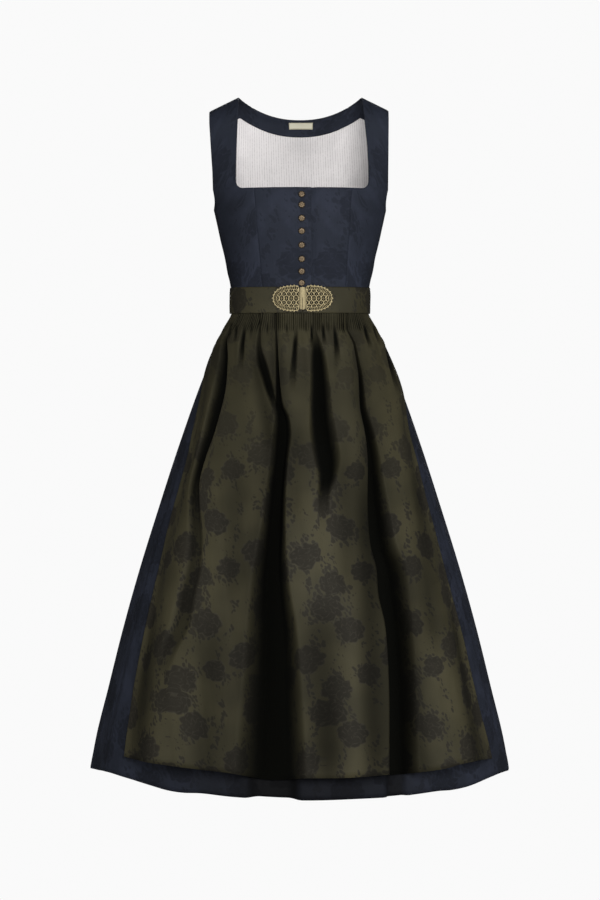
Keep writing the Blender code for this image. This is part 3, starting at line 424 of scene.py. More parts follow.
def frontSide(name, side, material, replaced, seed):
    # Side front with its strap, from the front seam to the side seam and up to the shoulder
    seam = seamLeft if side > 0 else seamRight
    strapInner = strapInnerLeft if side > 0 else strapInnerRight
    corner = float(strapInner(neckLevel))
    radius = bodice["neckCorner"]
    seamHere = float(seam(neckLevel)) + halfSeam
    foot = np.concatenate([
        seamHere + (corner - radius - seamHere) * np.linspace(0.0, 1.0, 17)[:-1] ** 0.85,
        np.linspace(corner - radius, corner, 10),
    ])
    inner = len(foot) - 1
    seamAngle = float(bodicePlace(seamHere, neckLevel)[0])
    shares = (bodicePlace(foot, np.full(len(foot), neckLevel))[0] - seamAngle) / (quarter - seamAngle)
    strapShares = np.linspace(0.0, 1.0, 34)
    # rows over the strap: shares of the way down from the shoulder, closer near the corner
    down = np.concatenate([np.linspace(0.0, 0.90, 46)[:-1], np.linspace(0.90, 1.0, 12)])[:, None]
    over = len(down)
    level = down * neckLevel
    strapX = strapInner(level) + (strapOuter(side, level) - strapInner(level)) * strapShares
    strapZ = shoulderLine(strapX) * (1.0 - down) + level
    x = np.concatenate([np.broadcast_to(foot[:-1], (over, inner)), strapX], axis=1)
    z = np.concatenate([np.full((over, inner), neckLevel), strapZ], axis=1)
    for grid in (x, z):
        grid[:-1, :inner] = grid[:-1, inner:inner + 1]
    nearCorner = (z <= neckLevel + radius) & (x >= corner - radius - 1e-9)
    upperAngle, upperTurn = bodicePlace(*np.where(nearCorner, roundCorner(x, z, corner), (x, z)))
    # rows below the neckline, first round the armhole and then straight down
    armhole = neckLevel + (bodice["armholeFoot"] - neckLevel) * np.sin(np.linspace(0.0, quarter, 22)[1:])
    lowZ = np.concatenate([armhole, np.linspace(bodice["armholeFoot"], bodice["waist"], 60)[1:]])
    lowSeam = bodicePlace(seam(lowZ) + halfSeam, lowZ)[0][:, None]
    innerAngle = lowSeam + (quarter - lowSeam) * shares[None, :]
    edge = armholeAngle(side, lowZ)[:, None]
    outerAngle = innerAngle[:, -1:] + (edge - innerAngle[:, -1:]) * strapShares[None, 1:]
    lowAngle = np.concatenate([innerAngle, outerAngle], axis=1)
    lowHeight = np.broadcast_to(lowZ[:, None], lowAngle.shape)
    lowTurn = turnAt(lowAngle, lowHeight)
    lowX = bodiceSurface(lowAngle, lowTurn)[..., 0]
    close = (lowX >= corner - radius) & (lowX < corner + 2.2 * radius) & (neckLevel - lowHeight < 2.2 * radius)
    placed = bodicePlace(*np.where(close, roundCorner(lowX, lowHeight, corner), (lowX, lowHeight)))
    lowAngle, lowTurn = np.where(close, placed, (lowAngle, lowTurn))
    angle = side * np.concatenate([upperAngle, lowAngle], axis=0)
    turn = np.concatenate([upperTurn, lowTurn], axis=0)
    keep = np.ones((len(angle) - 1, angle.shape[1] - 1), dtype=bool)
    keep[:over - 1, :inner] = False

    def lift(base):
        seamRoom, sideRoom, innerRoom = np.ones((3, *angle.shape))
        seamRoom[over - 1:] = gapTo(base[over - 1:], base[over - 1:, :1])
        sideRoom[-59:] = gapTo(base[-59:], base[-59:, -1:])
        innerRoom[:over] = gapTo(base[:over], base[:over, inner:inner + 1])
        dip = seamDip(seamRoom) + seamDip(gapTo(base, base[:1])) + seamDip(sideRoom)
        stitched = stitchDip(gapTo(base, base[:, -1:])) + stitchDip(innerRoom)
        return dip + stitched + bodiceWrinkles(base, seed)

    def shade(base):
        # painted shade: the side turns away from the light
        low = ease((-0.14 - base[..., 2]) / 0.06)
        return bodice["sideShade"][side] * ease((np.abs(base[..., 0]) - 0.080) / 0.045) * low

    return placePanel(name, angle, turn, False, lift, material, replaced, keep=keep, flip=side < 0, shade=shade)


def backTop(across):
    share = np.abs(across) / bodice["strapInner"]
    curve = bodice["neckBack"] * (1.0 - np.minimum(share, 1.0) ** 2.2)
    return np.where(share < 1.0, curve, shoulderLine(across))


def backPlace(column, rows):
    # Angle and turn of the back's grid. column runs from -2 to 2: 1 is the seam, 2 the side edge.
    # rows runs from 0 at the top edge to 1 at the neckline's level, and on to 2 at the waist
    side = np.sign(column)
    count = np.abs(column)
    share = np.minimum(rows, 1.0)
    level = share * neckLevel
    seam = seamBack(level)
    # the side part is spaced evenly at the top and by angle at the foot, as it is below
    neckSeam = seamBack(neckLevel)
    footSeam = float(bodicePlace(neckSeam, neckLevel)[0])
    footAngle = footSeam + (armholeAngle(side, neckLevel) - footSeam) * np.maximum(count - 1.0, 0.0)
    footX = bodiceSurface(footAngle, turnAt(footAngle, neckLevel), True)[..., 0]
    footShare = (footX - neckSeam) / (strapOuter(side, neckLevel) - neckSeam)
    spread = (count - 1.0) * (1.0 - share) + footShare * share
    across = np.where(count <= 1.0, seam * count, seam + (strapOuter(side, level) - seam) * spread)
    upperAngle, upperTurn = bodicePlace(across, backTop(across) * (1.0 - share) + level)
    lowHeight = neckLevel + (bodice["waist"] - neckLevel) * np.clip(rows - 1.0, 0.0, 1.0)
    lowSeam = bodicePlace(seamBack(lowHeight), lowHeight)[0]
    centre = bodicePlace(seamBack(lowHeight) * np.minimum(count, 1.0), lowHeight)[0]
    outer = lowSeam + (armholeAngle(side, lowHeight) - lowSeam) * (count - 1.0)
    lowAngle = np.where(count <= 1.0, centre, outer)
    upper = rows <= 1.0
    return side * np.where(upper, upperAngle, lowAngle), np.where(upper, upperTurn, turnAt(lowAngle, lowHeight))


def backPanel(name, first, last, material, replaced, seed, nudge):
    foot = (bodice["armholeFoot"] - neckLevel) / (bodice["waist"] - neckLevel)
    # rows stand closer together round the armhole
    rows = np.concatenate([
        1.0 - np.cos(np.linspace(0.0, quarter, 44)),
        1.0 + foot * np.sin(np.linspace(0.0, quarter, 20)[1:]),
        np.linspace(1.0 + foot, 2.0, 42)[1:],
    ])[:, None]
    angle, turn = backPlace((first + (last - first) * edgeShares(60))[None, :], rows)

    def lift(base):
        dip = seamDip(gapTo(base, base[:, :1])) + seamDip(gapTo(base, base[:, -1:]))
        return dip + stitchDip(gapTo(base, base[:1])) + bodiceWrinkles(base, seed)

    return placePanel(name, angle, turn, True, lift, material, replaced, wall=bodice["backWall"],
                      nudge=nudge)


# Inside of the back: pale lining, neck facing and a blank woven label

inside = {
    "gap": 0.0006,
    "wall": 0.0010,
    "facingDepth": 0.030,
    "facingEnd": 1.40,       # how far the facing runs to each side, 1 is the back seam
    "liningEnd": 1.97,       # 2 is the side seam
    "labelWidth": 0.0440,
    "labelTop": 0.0030,      # below the neckline
    "labelHeight": 0.0125,
    "labelX": 0.0015,
    "labelWall": 0.0006,
}

innerFace = -(bodice["wall"] + inside["gap"])


def facingRow(column):
    across = seamBack(0.0) * np.minimum(np.abs(column), 1.0)
    across = across + (strapOuter(np.sign(column), 0.0) - seamBack(0.0)) * np.maximum(0.0, np.abs(column) - 1.0)
    return inside["facingDepth"] / (backTop(across) - neckLevel)


def neckFacing(material):
    columns = np.linspace(-inside["facingEnd"], inside["facingEnd"], 120)[None, :]
    share = np.linspace(0.0, 1.0, 16)[:, None]
    angle, turn = backPlace(columns, share * (facingRow(columns) - 0.002))
    lift = innerFace + 0.00025 * bell((share - 0.80) / 0.05)
    return placePanel("neckFacing", angle, turn, True, lift, material, "facing_neck",
                      wall=inside["wall"])


def backLining(material):
    columns = np.linspace(-inside["liningEnd"], inside["liningEnd"], 160)[None, :]
    share = np.linspace(0.0, 1.0, 72)[:, None]
    start = facingRow(columns)
    angle, turn = backPlace(columns, start + (2.0 - start) * share)

    def lift(base):
        ripple = waves(base[..., 0] + 0.10 * base[..., 2], 31, 4, 0.050, 0.016)
        slack = 0.00045 * ripple * ease(share / 0.15) * ease((1.0 - share) / 0.2)
        return innerFace - 0.0005 * ease(share / 0.06) - np.abs(slack)

    return placePanel("backLining", angle, turn, True, lift, material, "lining_back",
                      wall=inside["wall"])


def neckLabel(material):
    # Small blank woven label, its short ends turned under
    share = np.linspace(0.0, 1.0, 14)[:, None]
    room = inside["labelWidth"] * (0.5 - np.abs(np.linspace(-0.5, 0.5, 40)[None, :]))
    across = inside["labelX"] + inside["labelWidth"] * np.linspace(-0.5, 0.5, 40)[None, :]
    heights = backTop(0.0) - inside["labelTop"] - inside["labelHeight"] * share
    top = backTop(across)
    angle, turn = backPlace(across / seamBack(0.0), (top - heights) / (top - neckLevel))
    edge = np.minimum(np.minimum(share, 1.0 - share) * inside["labelHeight"], room)
    lift = innerFace - inside["wall"] - 0.0003 - 0.0003 * ease(edge / 0.002)
    return placePanel("neckLabel", angle, turn, True, lift, material, "label",
                      wall=inside["labelWall"])


# Skirt: three widths round the smooth skirt form, with soft folds at the sides and back

skirt = {
    "wall": 0.0010,
    "waist": -0.3645,
    "top": -0.3648,
    "hem": -1.204,
    # angle from the front in degrees, height of the hem there
    "hemLevels": (
        (-180.0, -1.204), (-90.0, -1.204), (-78.0, -1.1965), (-64.0, -1.1895), (-52.0, -1.1916),
        (-42.0, -1.1974), (-36.0, -1.2018), (-31.0, -1.2032), (-25.0, -1.202), (-16.0, -1.2055),
        (0.0, -1.2085), (16.0, -1.208), (24.0, -1.2072), (31.0, -1.2052), (38.0, -1.204), (43.0, -1.2054),
        (49.0, -1.204), (60.0, -1.1973), (70.0, -1.1968), (80.0, -1.201), (90.0, -1.2065), (180.0, -1.204),
    ),
    "gap": 0.00006,
    "rows": 104,
    "ripple": 0.0022,          # small uneven ones near the hem
    "recessShade": 0.75,       # painted shade in the room behind the apron's folds: how dark it is
    "hemShade": 0.66,          # painted shade under the apron's hem: how dark it is
    "seamHollow": (0.0008, 0.0018),
    "hemStitch": (0.0003, 0.0300, 0.0012),
    "frontWave": (0.0004, 0.0012, 12.0),    # of the soft folds: height at the waist, growth to the hem, count
    "backWave": (0.0008, 0.0110, 18.0),
    # height, half width, depth to the front, depth to the back, roundness power
    "sections": (
        (-0.3648, 0.12, 0.087, 0.0775, 2.3), (-0.38, 0.1202, 0.0872, 0.0777, 2.3),
        (-0.391, 0.1206, 0.0876, 0.0782, 2.3), (-0.418, 0.136, 0.098, 0.093, 2.25),
        (-0.454, 0.1535, 0.11, 0.112, 2.2), (-0.526, 0.182, 0.134, 0.142, 2.15),
        (-0.634, 0.219, 0.165, 0.178, 2.1), (-0.742, 0.253, 0.194, 0.212, 2.1),
        (-0.85, 0.286, 0.221, 0.245, 2.1), (-0.958, 0.316, 0.248, 0.277, 2.1),
        (-1.066, 0.343, 0.272, 0.306, 2.1), (-1.138, 0.361, 0.287, 0.323, 2.1),
        (-1.204, 0.374, 0.3, 0.337, 2.1),
    ),
}

skirtCurves = readersOf(skirt["sections"])
skirtHem = curveOf(skirt["hemLevels"], 1)


def ovalPoint(angle, height, halfWidth, front, back, power):
    # Point of a rounded section round the body
    across = halfWidth * signedPower(np.sin(angle), 2.0 / power)
    cosine = signedPower(np.cos(angle), 2.0 / power)
    return stack(across, -np.where(cosine >= 0.0, front, back) * cosine, height)


def skirtBase(angle, height):
    return ovalPoint(angle, height, *(curve(height) for curve in skirtCurves))


def skirtOutward(angle, height):
    return squareTo(skirtBase, angle, height, 0.004, -0.002)


# Apron: shirred under the belt, with deep uneven folds below

apron = {
    "wall": 0.0010,
    "top": -0.3700,
    "bandFoot": -0.4360,
    # angle from the front in degrees, height of the hem there
    "hemLevels": (
        (-54.2, -1.1565), (-40.0, -1.1595), (-30.0, -1.162), (-16.5, -1.167), (-7.7, -1.175), (1.3, -1.1735),
        (11.4, -1.1735), (21.0, -1.1708), (24.0, -1.1712), (36.5, -1.1685), (42.5, -1.164), (51.5, -1.1625),
        (63.5, -1.1665),
    ),
    "gatherPitch": 0.0033,     # along the belt
    "gatherDepth": 0.0012,
    "gatherFoot": -0.4270,
    "gatherUneven": (0.70, 0.0030),    # of their pitch, in gathers, and of the height where they end
    "fullness": 0.0034,        # the cloth springs out below the shirring
    "slack": 0.0006,           # of the hanging cloth between the folds
    "upperShade": 0.075,       # painted shade: less light reaches the narrow upper part
    "creaseShade": (0.07, 0.10),       # painted shade of the creases below the gathers: even, uneven
    "columns": (64, 96, 80, 80, 128),  # from one deep fold to the next
    "bandRows": 16,
    "lowRows": 82,
    "besideFoldShade": (0.10, 0.38, 0.12, 0.40, 0.10),   # painted shade beside each deep fold
    # height, angle from the front to the right edge, to the left edge, in degrees
    "edges": (
        (-0.37, 88.5, 88.5), (-0.455, 88.0, 88.5), (-0.49, 79.0, 86.0), (-0.525, 70.0, 80.0),
        (-0.56, 66.0, 71.0), (-0.595, 63.8, 66.0), (-0.64, 61.0, 64.5), (-0.735, 60.5, 62.5),
        (-0.84, 59.0, 61.5), (-0.95, 57.8, 62.0), (-1.045, 56.8, 62.0), (-1.16, 54.2, 63.5),
    ),
    # height, how far it stands off the skirt between its folds
    "standOff": (
        (-0.37, 0.0032), (-0.425, 0.0034), (-0.455, 0.0055), (-0.525, 0.012), (-0.6, 0.019), (-0.74, 0.026),
        (-0.85, 0.031), (-0.96, 0.0345), (-1.066, 0.037), (-1.166, 0.0385),
    ),
    # deep folds: height, place across, half width, depth
    "rightSideFold": (
        (-0.38, -0.106, 0.0021, 0.0), (-0.4, -0.114, 0.0021, 0.0), (-0.4255, -0.1275, 0.003, 0.006),
        (-0.4501, -0.1296, 0.005, 0.011), (-0.4746, -0.1312, 0.0066, 0.0135),
        (-0.5215, -0.1352, 0.0092, 0.015), (-0.5594, -0.1415, 0.0098, 0.015), (-0.6074, -0.1515, 0.009, 0.014),
        (-0.6448, -0.162, 0.0082, 0.012), (-0.6888, -0.171, 0.008, 0.009), (-0.7268, -0.1704, 0.0085, 0.0068),
        (-0.7785, -0.1672, 0.0105, 0.0054), (-0.8312, -0.1694, 0.012, 0.0048), (-0.8823, -0.18, 0.013, 0.0048),
        (-0.935, -0.19, 0.0135, 0.0044), (-0.9654, -0.204, 0.0125, 0.0034), (-1.0076, -0.216, 0.011, 0.0014),
        (-1.1042, -0.225, 0.01, 0.0),
    ),
    "rightMiddleFold": (
        (-0.4184, -0.0422, 0.0014, 0.003), (-0.4448, -0.0403, 0.0018, 0.006),
        (-0.4746, -0.0393, 0.0023, 0.009), (-0.5215, -0.0371, 0.0035, 0.013),
        (-0.5525, -0.0351, 0.0062, 0.018), (-0.5715, -0.0303, 0.0097, 0.022),
        (-0.6023, -0.0303, 0.0128, 0.027), (-0.6448, -0.0338, 0.0117, 0.03), (-0.6888, -0.0381, 0.0127, 0.034),
        (-0.7341, -0.0411, 0.0144, 0.038), (-0.7942, -0.0455, 0.0184, 0.043),
        (-0.8307, -0.0476, 0.0221, 0.046), (-0.8769, -0.0474, 0.0262, 0.049), (-0.931, -0.045, 0.0321, 0.052),
        (-1.0303, -0.0444, 0.0377, 0.055), (-1.1281, -0.0455, 0.0433, 0.056),
        (-1.1764, -0.0457, 0.0449, 0.056),
    ),
    "middleFold": (
        (-0.4184, 0.0246, 0.0018, 0.002), (-0.4448, 0.0289, 0.007, 0.008), (-0.4693, 0.0315, 0.0108, 0.014),
        (-0.5215, 0.0339, 0.0139, 0.02), (-0.5646, 0.0347, 0.0156, 0.024), (-0.6023, 0.038, 0.0182, 0.026),
        (-0.6448, 0.0448, 0.0179, 0.024), (-0.6753, 0.0447, 0.0129, 0.014), (-0.7039, 0.039, 0.009, 0.0064),
        (-0.7308, 0.038, 0.008, 0.002), (-0.7693, 0.0375, 0.0077, 0.0), (-1.1764, 0.0432, 0.0083, 0.0),
    ),
    "leftFold": (
        (-0.4184, 0.0818, 0.0016, 0.003), (-0.4466, 0.0929, 0.0019, 0.006), (-0.4903, 0.1013, 0.0028, 0.009),
        (-0.5215, 0.1032, 0.0037, 0.012), (-0.5594, 0.105, 0.0047, 0.016), (-0.6023, 0.1141, 0.0064, 0.02),
        (-0.6448, 0.1202, 0.0081, 0.024), (-0.6888, 0.1229, 0.0103, 0.028), (-0.7341, 0.1266, 0.0137, 0.032),
        (-0.7942, 0.1337, 0.0164, 0.037), (-0.8307, 0.1452, 0.0194, 0.04), (-0.8769, 0.149, 0.0203, 0.042),
        (-0.931, 0.1569, 0.0182, 0.043), (-1.0303, 0.1618, 0.0184, 0.043), (-1.1281, 0.1624, 0.0192, 0.042),
        (-1.1764, 0.1628, 0.0199, 0.042),
    ),
    "slantFold": (
        (-0.4149, -0.0703, 0.0016, 0.003), (-0.4536, -0.0706, 0.0042, 0.007), (-0.4763, -0.0664, 0.0077, 0.01),
        (-0.5059, -0.0575, 0.0073, 0.011), (-0.5284, -0.051, 0.0066, 0.01), (-0.5491, -0.0434, 0.0059, 0.006),
        (-0.568, -0.0364, 0.0055, 0.0), (-1.1764, -0.0349, 0.005, 0.0),
    ),
    # short folds from the gathers: place at the top, at the foot, top, foot, half width, depth
    "shortFolds": (
        (-0.0955, -0.1038, -0.4043, -0.4955, 0.0043, 0.0075),
        (-0.11, -0.1122, -0.4043, -0.4466, 0.0027, 0.004), (-0.1197, -0.1245, -0.4008, -0.4448, 0.0027, 0.004),
        (-0.0836, -0.0852, -0.4043, -0.4325, 0.0022, 0.0028),
        (-0.0563, -0.0571, -0.4043, -0.4325, 0.0022, 0.0028),
        (-0.0056, -0.0151, -0.4079, -0.5336, 0.0047, 0.0085),
        (-0.0238, -0.0228, -0.4043, -0.4325, 0.0022, 0.0025),
        (0.0097, 0.0105, -0.4008, -0.429, 0.0022, 0.0025), (0.0201, 0.021, -0.4043, -0.4571, 0.0025, 0.006),
        (0.0394, 0.0421, -0.4043, -0.4501, 0.0029, 0.0055), (0.0591, 0.0655, -0.4043, -0.485, 0.0041, 0.0075),
        (0.0748, 0.0746, -0.4008, -0.429, 0.0022, 0.0026), (0.1105, 0.1217, -0.4043, -0.4571, 0.0036, 0.0065),
        (0.1267, 0.1367, -0.4043, -0.4501, 0.0025, 0.004), (0.1425, 0.1685, -0.4043, -0.5474, 0.0047, 0.0075),
        (0.1012, 0.1054, -0.4008, -0.429, 0.0022, 0.0025), (0.0489, 0.0492, -0.4043, -0.429, 0.0018, 0.002),
        (-0.1512, -0.1606, -0.4184, -0.492, 0.0036, 0.004),
        (-0.1372, -0.1506, -0.4043, -0.4571, 0.0025, 0.0035),
        (0.1547, 0.1676, -0.4184, -0.492, 0.0029, 0.0035),
    ),
    # broad creases: place at the top, place at the foot, top, foot, half width, depth
    "creases": (
        (-0.085, -0.046, -0.44, -0.64, 0.01, 0.004), (-0.006, -0.012, -0.56, -0.76, 0.016, 0.003),
        (0.07, 0.078, -0.56, -0.9, 0.016, 0.0032), (-0.1, -0.11, -0.6, -0.9, 0.018, 0.003),
        (0.19, 0.215, -0.62, -1.0, 0.016, 0.004), (0.03, 0.046, -0.86, -1.2, 0.03, 0.005),
        (-0.14, -0.15, -0.88, -1.22, 0.02, 0.0035), (-0.25, -0.27, -0.86, -1.26, 0.022, 0.004),
        (0.255, 0.296, -0.86, -1.26, 0.016, 0.0046), (0.15, 0.2, -0.76, -1.26, 0.018, 0.0044),
        (0.104, 0.12, -0.56, -1.26, 0.017, 0.0056), (0.04, 0.05, -1.0, -1.26, 0.014, 0.003),
    ),
}

apronStandOff = curveOf(apron["standOff"], 1)
apronHem = curveOf(apron["hemLevels"], 1)
apronRight, apronLeft = readersOf(apron["edges"])
deepFolds = [
    readersOf(apron[name])
    for name in ("rightSideFold", "rightMiddleFold", "middleFold", "leftFold", "slantFold")
]


def foldProfile(share):
    return ease(1.0 - np.maximum(0.0, np.abs(share) - 0.45) / 0.85)


def deepApronFolds(across, height, widen=1.0):
    # Depth of the deep folds at a place, and a mark from 0 to 1 of the painted shade inside and beside them
    total = 0.0
    clear = 1.0
    for (place, halfWidth, depth), shade in zip(deepFolds, apron["besideFoldShade"]):
        deep = np.maximum(0.0, depth(height))
        width = np.maximum(0.0010, halfWidth(height)) * widen
        away = across - place(height)
        profile = foldProfile(away / width)
        strength = np.minimum(1.0, deep / 0.011)
        beside = bell((away + 0.5 * width) / (1.25 * width + 0.010)) * shade
        total = total + deep * profile
        clear = clear * (1.0 - profile * strength) * (1.0 - beside * strength)
    return total, 1.0 - clear


def shortApronFolds(across, height):
    # painted shade: each short fold and crease darkens the colour by its mark
    total = 0.0
    clear = 1.0
    for number, (start, end, top, foot, halfWidth, depth) in enumerate(apron["shortFolds"] + apron["creases"]):
        share = np.clip((height - top) / (foot - top), 0.0, 1.0)
        away = across - start - (end - start) * share
        if number < len(apron["shortFolds"]):
            swell = ease(share / 0.30) * (1.0 - ease((share - 0.40) / 0.60))
            profile = swell * foldProfile(away / (halfWidth * (0.55 + 0.75 * share)))
            dark = 0.92 * min(1.0, depth / 0.0055)
        else:
            profile = ease(share / 0.3) * ease((1.0 - share) / 0.2) * bell(0.9 * away / halfWidth)
            dark = depth / 0.012
        total = total + depth * profile
        clear = clear * (1.0 - dark * profile)
    return total, 1.0 - clear


def gatherTurns(points):
    # Number of gathers passed at each column, counted along the belt
    run = arcLengths(points, 1)[0]
    return run / apron["gatherPitch"] + apron["gatherUneven"][0] * waves(run, 41, 6, 0.110, 0.011)


def gatherStrength(turn, height):
    # Full under the belt, with a ragged foot where the cloth springs free
    foot = apron["gatherFoot"] + apron["gatherUneven"][1] * waves(turn, 43, 6, 14.0, 2.3)
    uneven = np.clip(0.82 + 0.40 * waves(turn, 47, 5, 11.0, 1.7), 0.30, 1.15)
    return ease((height - foot) / 0.012) * uneven


def skirtFolds(angle, height):
    fall = ease((skirt["waist"] - height) / (skirt["waist"] - skirt["hem"]))
    side = np.abs(angle) - quarter
    backShare = ease((np.abs(angle) - math.radians(84.0)) / math.radians(22.0))
    front, back = ((start + growth * fall) * np.cos(count * side)
                   for start, growth, count in (skirt["frontWave"], skirt["backWave"]))
    return back * backShare + front * (1.0 - backShare) - skirtRecess(angle, height)


def skirtRecess(angle, height):
    # Room that the skirt leaves for the apron's deep folds
    across = skirtBase(angle, height)[..., 0]
    deep = deepApronFolds(across, height, 1.2)[0]
    room = apronStandOff(height) - 0.006
    sink = 0.003 * np.logaddexp(0.0, (deep - room) / 0.003)
    return np.where(np.abs(angle) < math.radians(80.0), sink * ease(deep / 0.006), 0.0)


def skirtPoint(angle, height):
    return skirtBase(angle, height) + skirtOutward(angle, height) * skirtFolds(angle, height)[..., None]


def skirtWidth(name, start, end, count, material, replaced):
    # One width of the skirt between two seams; angles are in degrees from the front
    middle = (start + end) / 2.0
    angle = np.radians(start + (end - start) * edgeShares(count, 0.35))[None, :]
    share = np.linspace(0.0, 1.0, skirt["rows"])[:, None]
    height = skirt["top"] + (skirtHem(np.degrees(angle)) - skirt["top"]) * share ** 1.15
    points = skirtPoint(angle, height)
    seamRoom = np.minimum(gapTo(points, points[:, :1]), gapTo(points, points[:, -1:]))
    dip = seamDip(seamRoom, skirt["seamHollow"]) + stitchDip(gapTo(points, points[-1:]), skirt["hemStitch"])
    lift = dip + skirtWrinkles(angle, height)
    points = points + squareTo(skirtPoint, angle, height, 0.006, -0.003) * lift[..., None]
    points[..., 1] += -skirt["gap"] / 2.0 if abs(middle) < 90.0 else skirt["gap"] / 2.0
    if abs(middle) > 90.0:
        points[..., 0] += math.copysign(skirt["gap"] / 2.0, middle)
    widths = arcLengths(points, 1)
    flat = np.stack([widths - widths[:, count // 2:count // 2 + 1], -arcLengths(points, 0)], axis=-1)
    # painted shade under the apron's hem and in the room behind its deep folds
    under = skirt["hemShade"] * bell(angle / math.radians(36.0)) * ease((-1.10 - height) / 0.05)
    recess = skirt["recessShade"] * ease(skirtRecess(angle, height) / 0.014)
    mark = 1.0 - (1.0 - recess) * (1.0 - under)
    item = makeSheet(name, points, flat, skirt["wall"], material, marks={"paintedShade": mark})
    settle(item, replaced)
    return item, gridArea(points)


def skirtWrinkles(angle, height):
    # Small uneven ripples that die away upward, and none where the apron lies close or at the back seam
    fall = ease((skirt["waist"] - height) / 0.55)
    ripple = waves(angle + 0.12 * height, 61, 5, 0.42, 0.09)
    covered = ease((math.radians(66.0) - np.abs(angle)) / math.radians(10.0))
    seam = ease((math.pi - np.abs(angle)) / math.radians(12.0))
    return skirt["ripple"] * fall * ripple * (1.0 - covered) * seam


def apronLift(angle, height, turn):
    # Distance from the skirt form to the apron's face, and the painted shade in the folds there
    rightEdge = np.radians(apronRight(height))
    leftEdge = np.radians(apronLeft(height))
    room = np.where(angle > 0.0, leftEdge - angle, rightEdge + angle)
    fade = 0.16 + 0.84 * ease(room / math.radians(17.0))
    across = skirtBase(angle, height)[..., 0]
    rest = 0.0028 + 0.0017 * ease((-0.43 - height) / 0.08) - skirtRecess(angle, height)
    deep, deepMark = deepApronFolds(across, height)
    short, shortMark = shortApronFolds(across, height)
    inward = ease(room / math.radians(4.0))
    fullness = apron["fullness"] * bell((height + 0.443) / 0.019)
    lift = apronStandOff(height) * fade - deep + (fullness - short) * inward
    soft = 0.0010
    lift = rest + soft * np.logaddexp(0.0, (lift - rest) / soft)
    strength = gatherStrength(turn, height)
    wave = apron["gatherDepth"] * 0.5 * np.cos(2.0 * math.pi * turn) * strength
    # painted shade of the creases under the gathers and of the narrow upper part
    even, uneven = apron["creaseShade"]
    crease = (even + uneven * waves(turn, 53, 6, 9.0, 2.1)) * bell((height + 0.462) / 0.052)
    upper = np.clip(apron["upperShade"] * ease((height + 0.86) / 0.28) + crease, 0.0, 0.4)
    marks = {
        "paintedShade": 1.0 - (1.0 - deepMark) * (1.0 - shortMark * inward) * (1.0 - upper),
        "gatherTurn": turn + 0.0 * height,
        "gatherStrength": strength,
    }
    slack = apron["slack"] * ease((-0.50 - height) / 0.25) * waves(across + 0.10 * height, 71, 5, 0.060, 0.014)
    return lift + wave + slack, marks


def apronAngles(height, spans):
    # Angles of the apron's columns, which follow the deep folds and crowd together at them
    halfWidth = skirtCurves[0](height) + apronStandOff(height)
    power = skirtCurves[3](height)
    guides = [-np.radians(apronRight(height))]
    guides += [sectionAngle(fold[0](height), halfWidth, power) for fold in deepFolds[:4]]
    guides[1] = np.maximum(guides[1], guides[0] + math.radians(5.0) * ease((-0.52 - height) / 0.20))
    guides.append(np.radians(apronLeft(height)))
    columns = [guides[0]]
    for i, cells in enumerate(spans):
        for k in range(1, cells + 1):
            share = k / cells
            share = share - 0.45 * math.sin(2.0 * math.pi * share) / (2.0 * math.pi)
            columns.append(guides[i] + (guides[i + 1] - guides[i]) * share)
    return np.stack(columns, axis=-1)


def apronCloth(material):
    spans = apron["columns"]
    band = np.linspace(apron["top"], apron["bandFoot"], apron["bandRows"])
    down = np.linspace(0.0, 1.0, apron["lowRows"] + 1)[1:] ** 1.25
    count = sum(spans) + 1
    hem = apronHem(np.degrees(apronAngles(np.array(apron["edges"][-1][0]), spans)))
    low = apron["bandFoot"] + (hem[None, :] - apron["bandFoot"]) * down[:, None]
    height = np.concatenate([np.broadcast_to(band[:, None], (len(band), count)), low], axis=0)
    rowHeights = np.concatenate([band, apron["bandFoot"] + (hem[0] - apron["bandFoot"]) * down])
    angle = apronAngles(rowHeights, spans)
    base = skirtBase(angle, height)
    lift, marks = apronLift(angle, height, gatherTurns(base)[None, :])
    points = base + skirtOutward(angle, height) * lift[..., None]
    flat = apronCut(points, spans)
    item = makeSheet("apronCloth", points, flat, apron["wall"], material, marks=marks)
    settle(item, "apron")
    return item, gridArea(points)


def apronCut(points, spans):
    # Place on the flat cloth. Between two deep folds the pattern keeps its size; the folds swallow the rest
    widths = arcLengths(points, 1)
    ends = np.concatenate([[0], np.cumsum(spans)])
    middles = [(ends[i] + ends[i + 1]) // 2 for i in range(len(spans))]
    levelRow = int(len(points) * 0.72)
    anchors = [widths[levelRow, m] for m in middles]
    centre = anchors[2]
    column = np.arange(points.shape[1])
    flat = np.zeros(widths.shape)
    total = np.zeros(points.shape[1])
    for i, m in enumerate(middles):
        local = anchors[i] - centre + widths - widths[:, m:m + 1]
        weight = np.ones(points.shape[1])
        if i > 0:
            weight = weight * ease((column - ends[i]) / (0.36 * spans[i]) + 0.5)
        if i < len(spans) - 1:
            weight = weight * ease((ends[i + 1] - column) / (0.36 * spans[i]) + 0.5)
        flat += local * weight
        total += weight
    return np.stack([flat / total, -arcLengths(points, 0)], axis=-1)


# Belt: flat band of the apron's cloth round the waist; its ends meet behind the clasp

belt = {
    "wall": 0.0014,
    "top": -0.3420,
    "bottom": -0.3885,
    "gap": 0.0003,
    "cutPlace": (0.073, 0.138),   # where the clasp's middle and the top edge lie on the patterned cloth
    "edge": (0.0007, 0.0022),     # how far and how soon it rounds off
    "stitchHollow": (0.0002, 0.0045, 0.0009),
    "slack": (0.00040, 0.00030),  # waves along it and across it
    "grid": (30, 420),
    # height, half width, depth to the front, depth to the back
    "sections": (
        (-0.342, 0.1264, 0.0934, 0.0818), (-0.3885, 0.1268, 0.0938, 0.0826),
    ),
}

beltCurves = readersOf(belt["sections"], lineOf)


def beltSurface(angle, height):
    return ovalPoint(angle, height, *(curve(height) for curve in beltCurves), bodice["power"])


def beltOutward(angle, height):
    return squareTo(beltSurface, angle, height, 0.004, -0.002)


def beltAngle(across, height):
    return sectionAngle(across, beltCurves[0](height), bodice["power"])


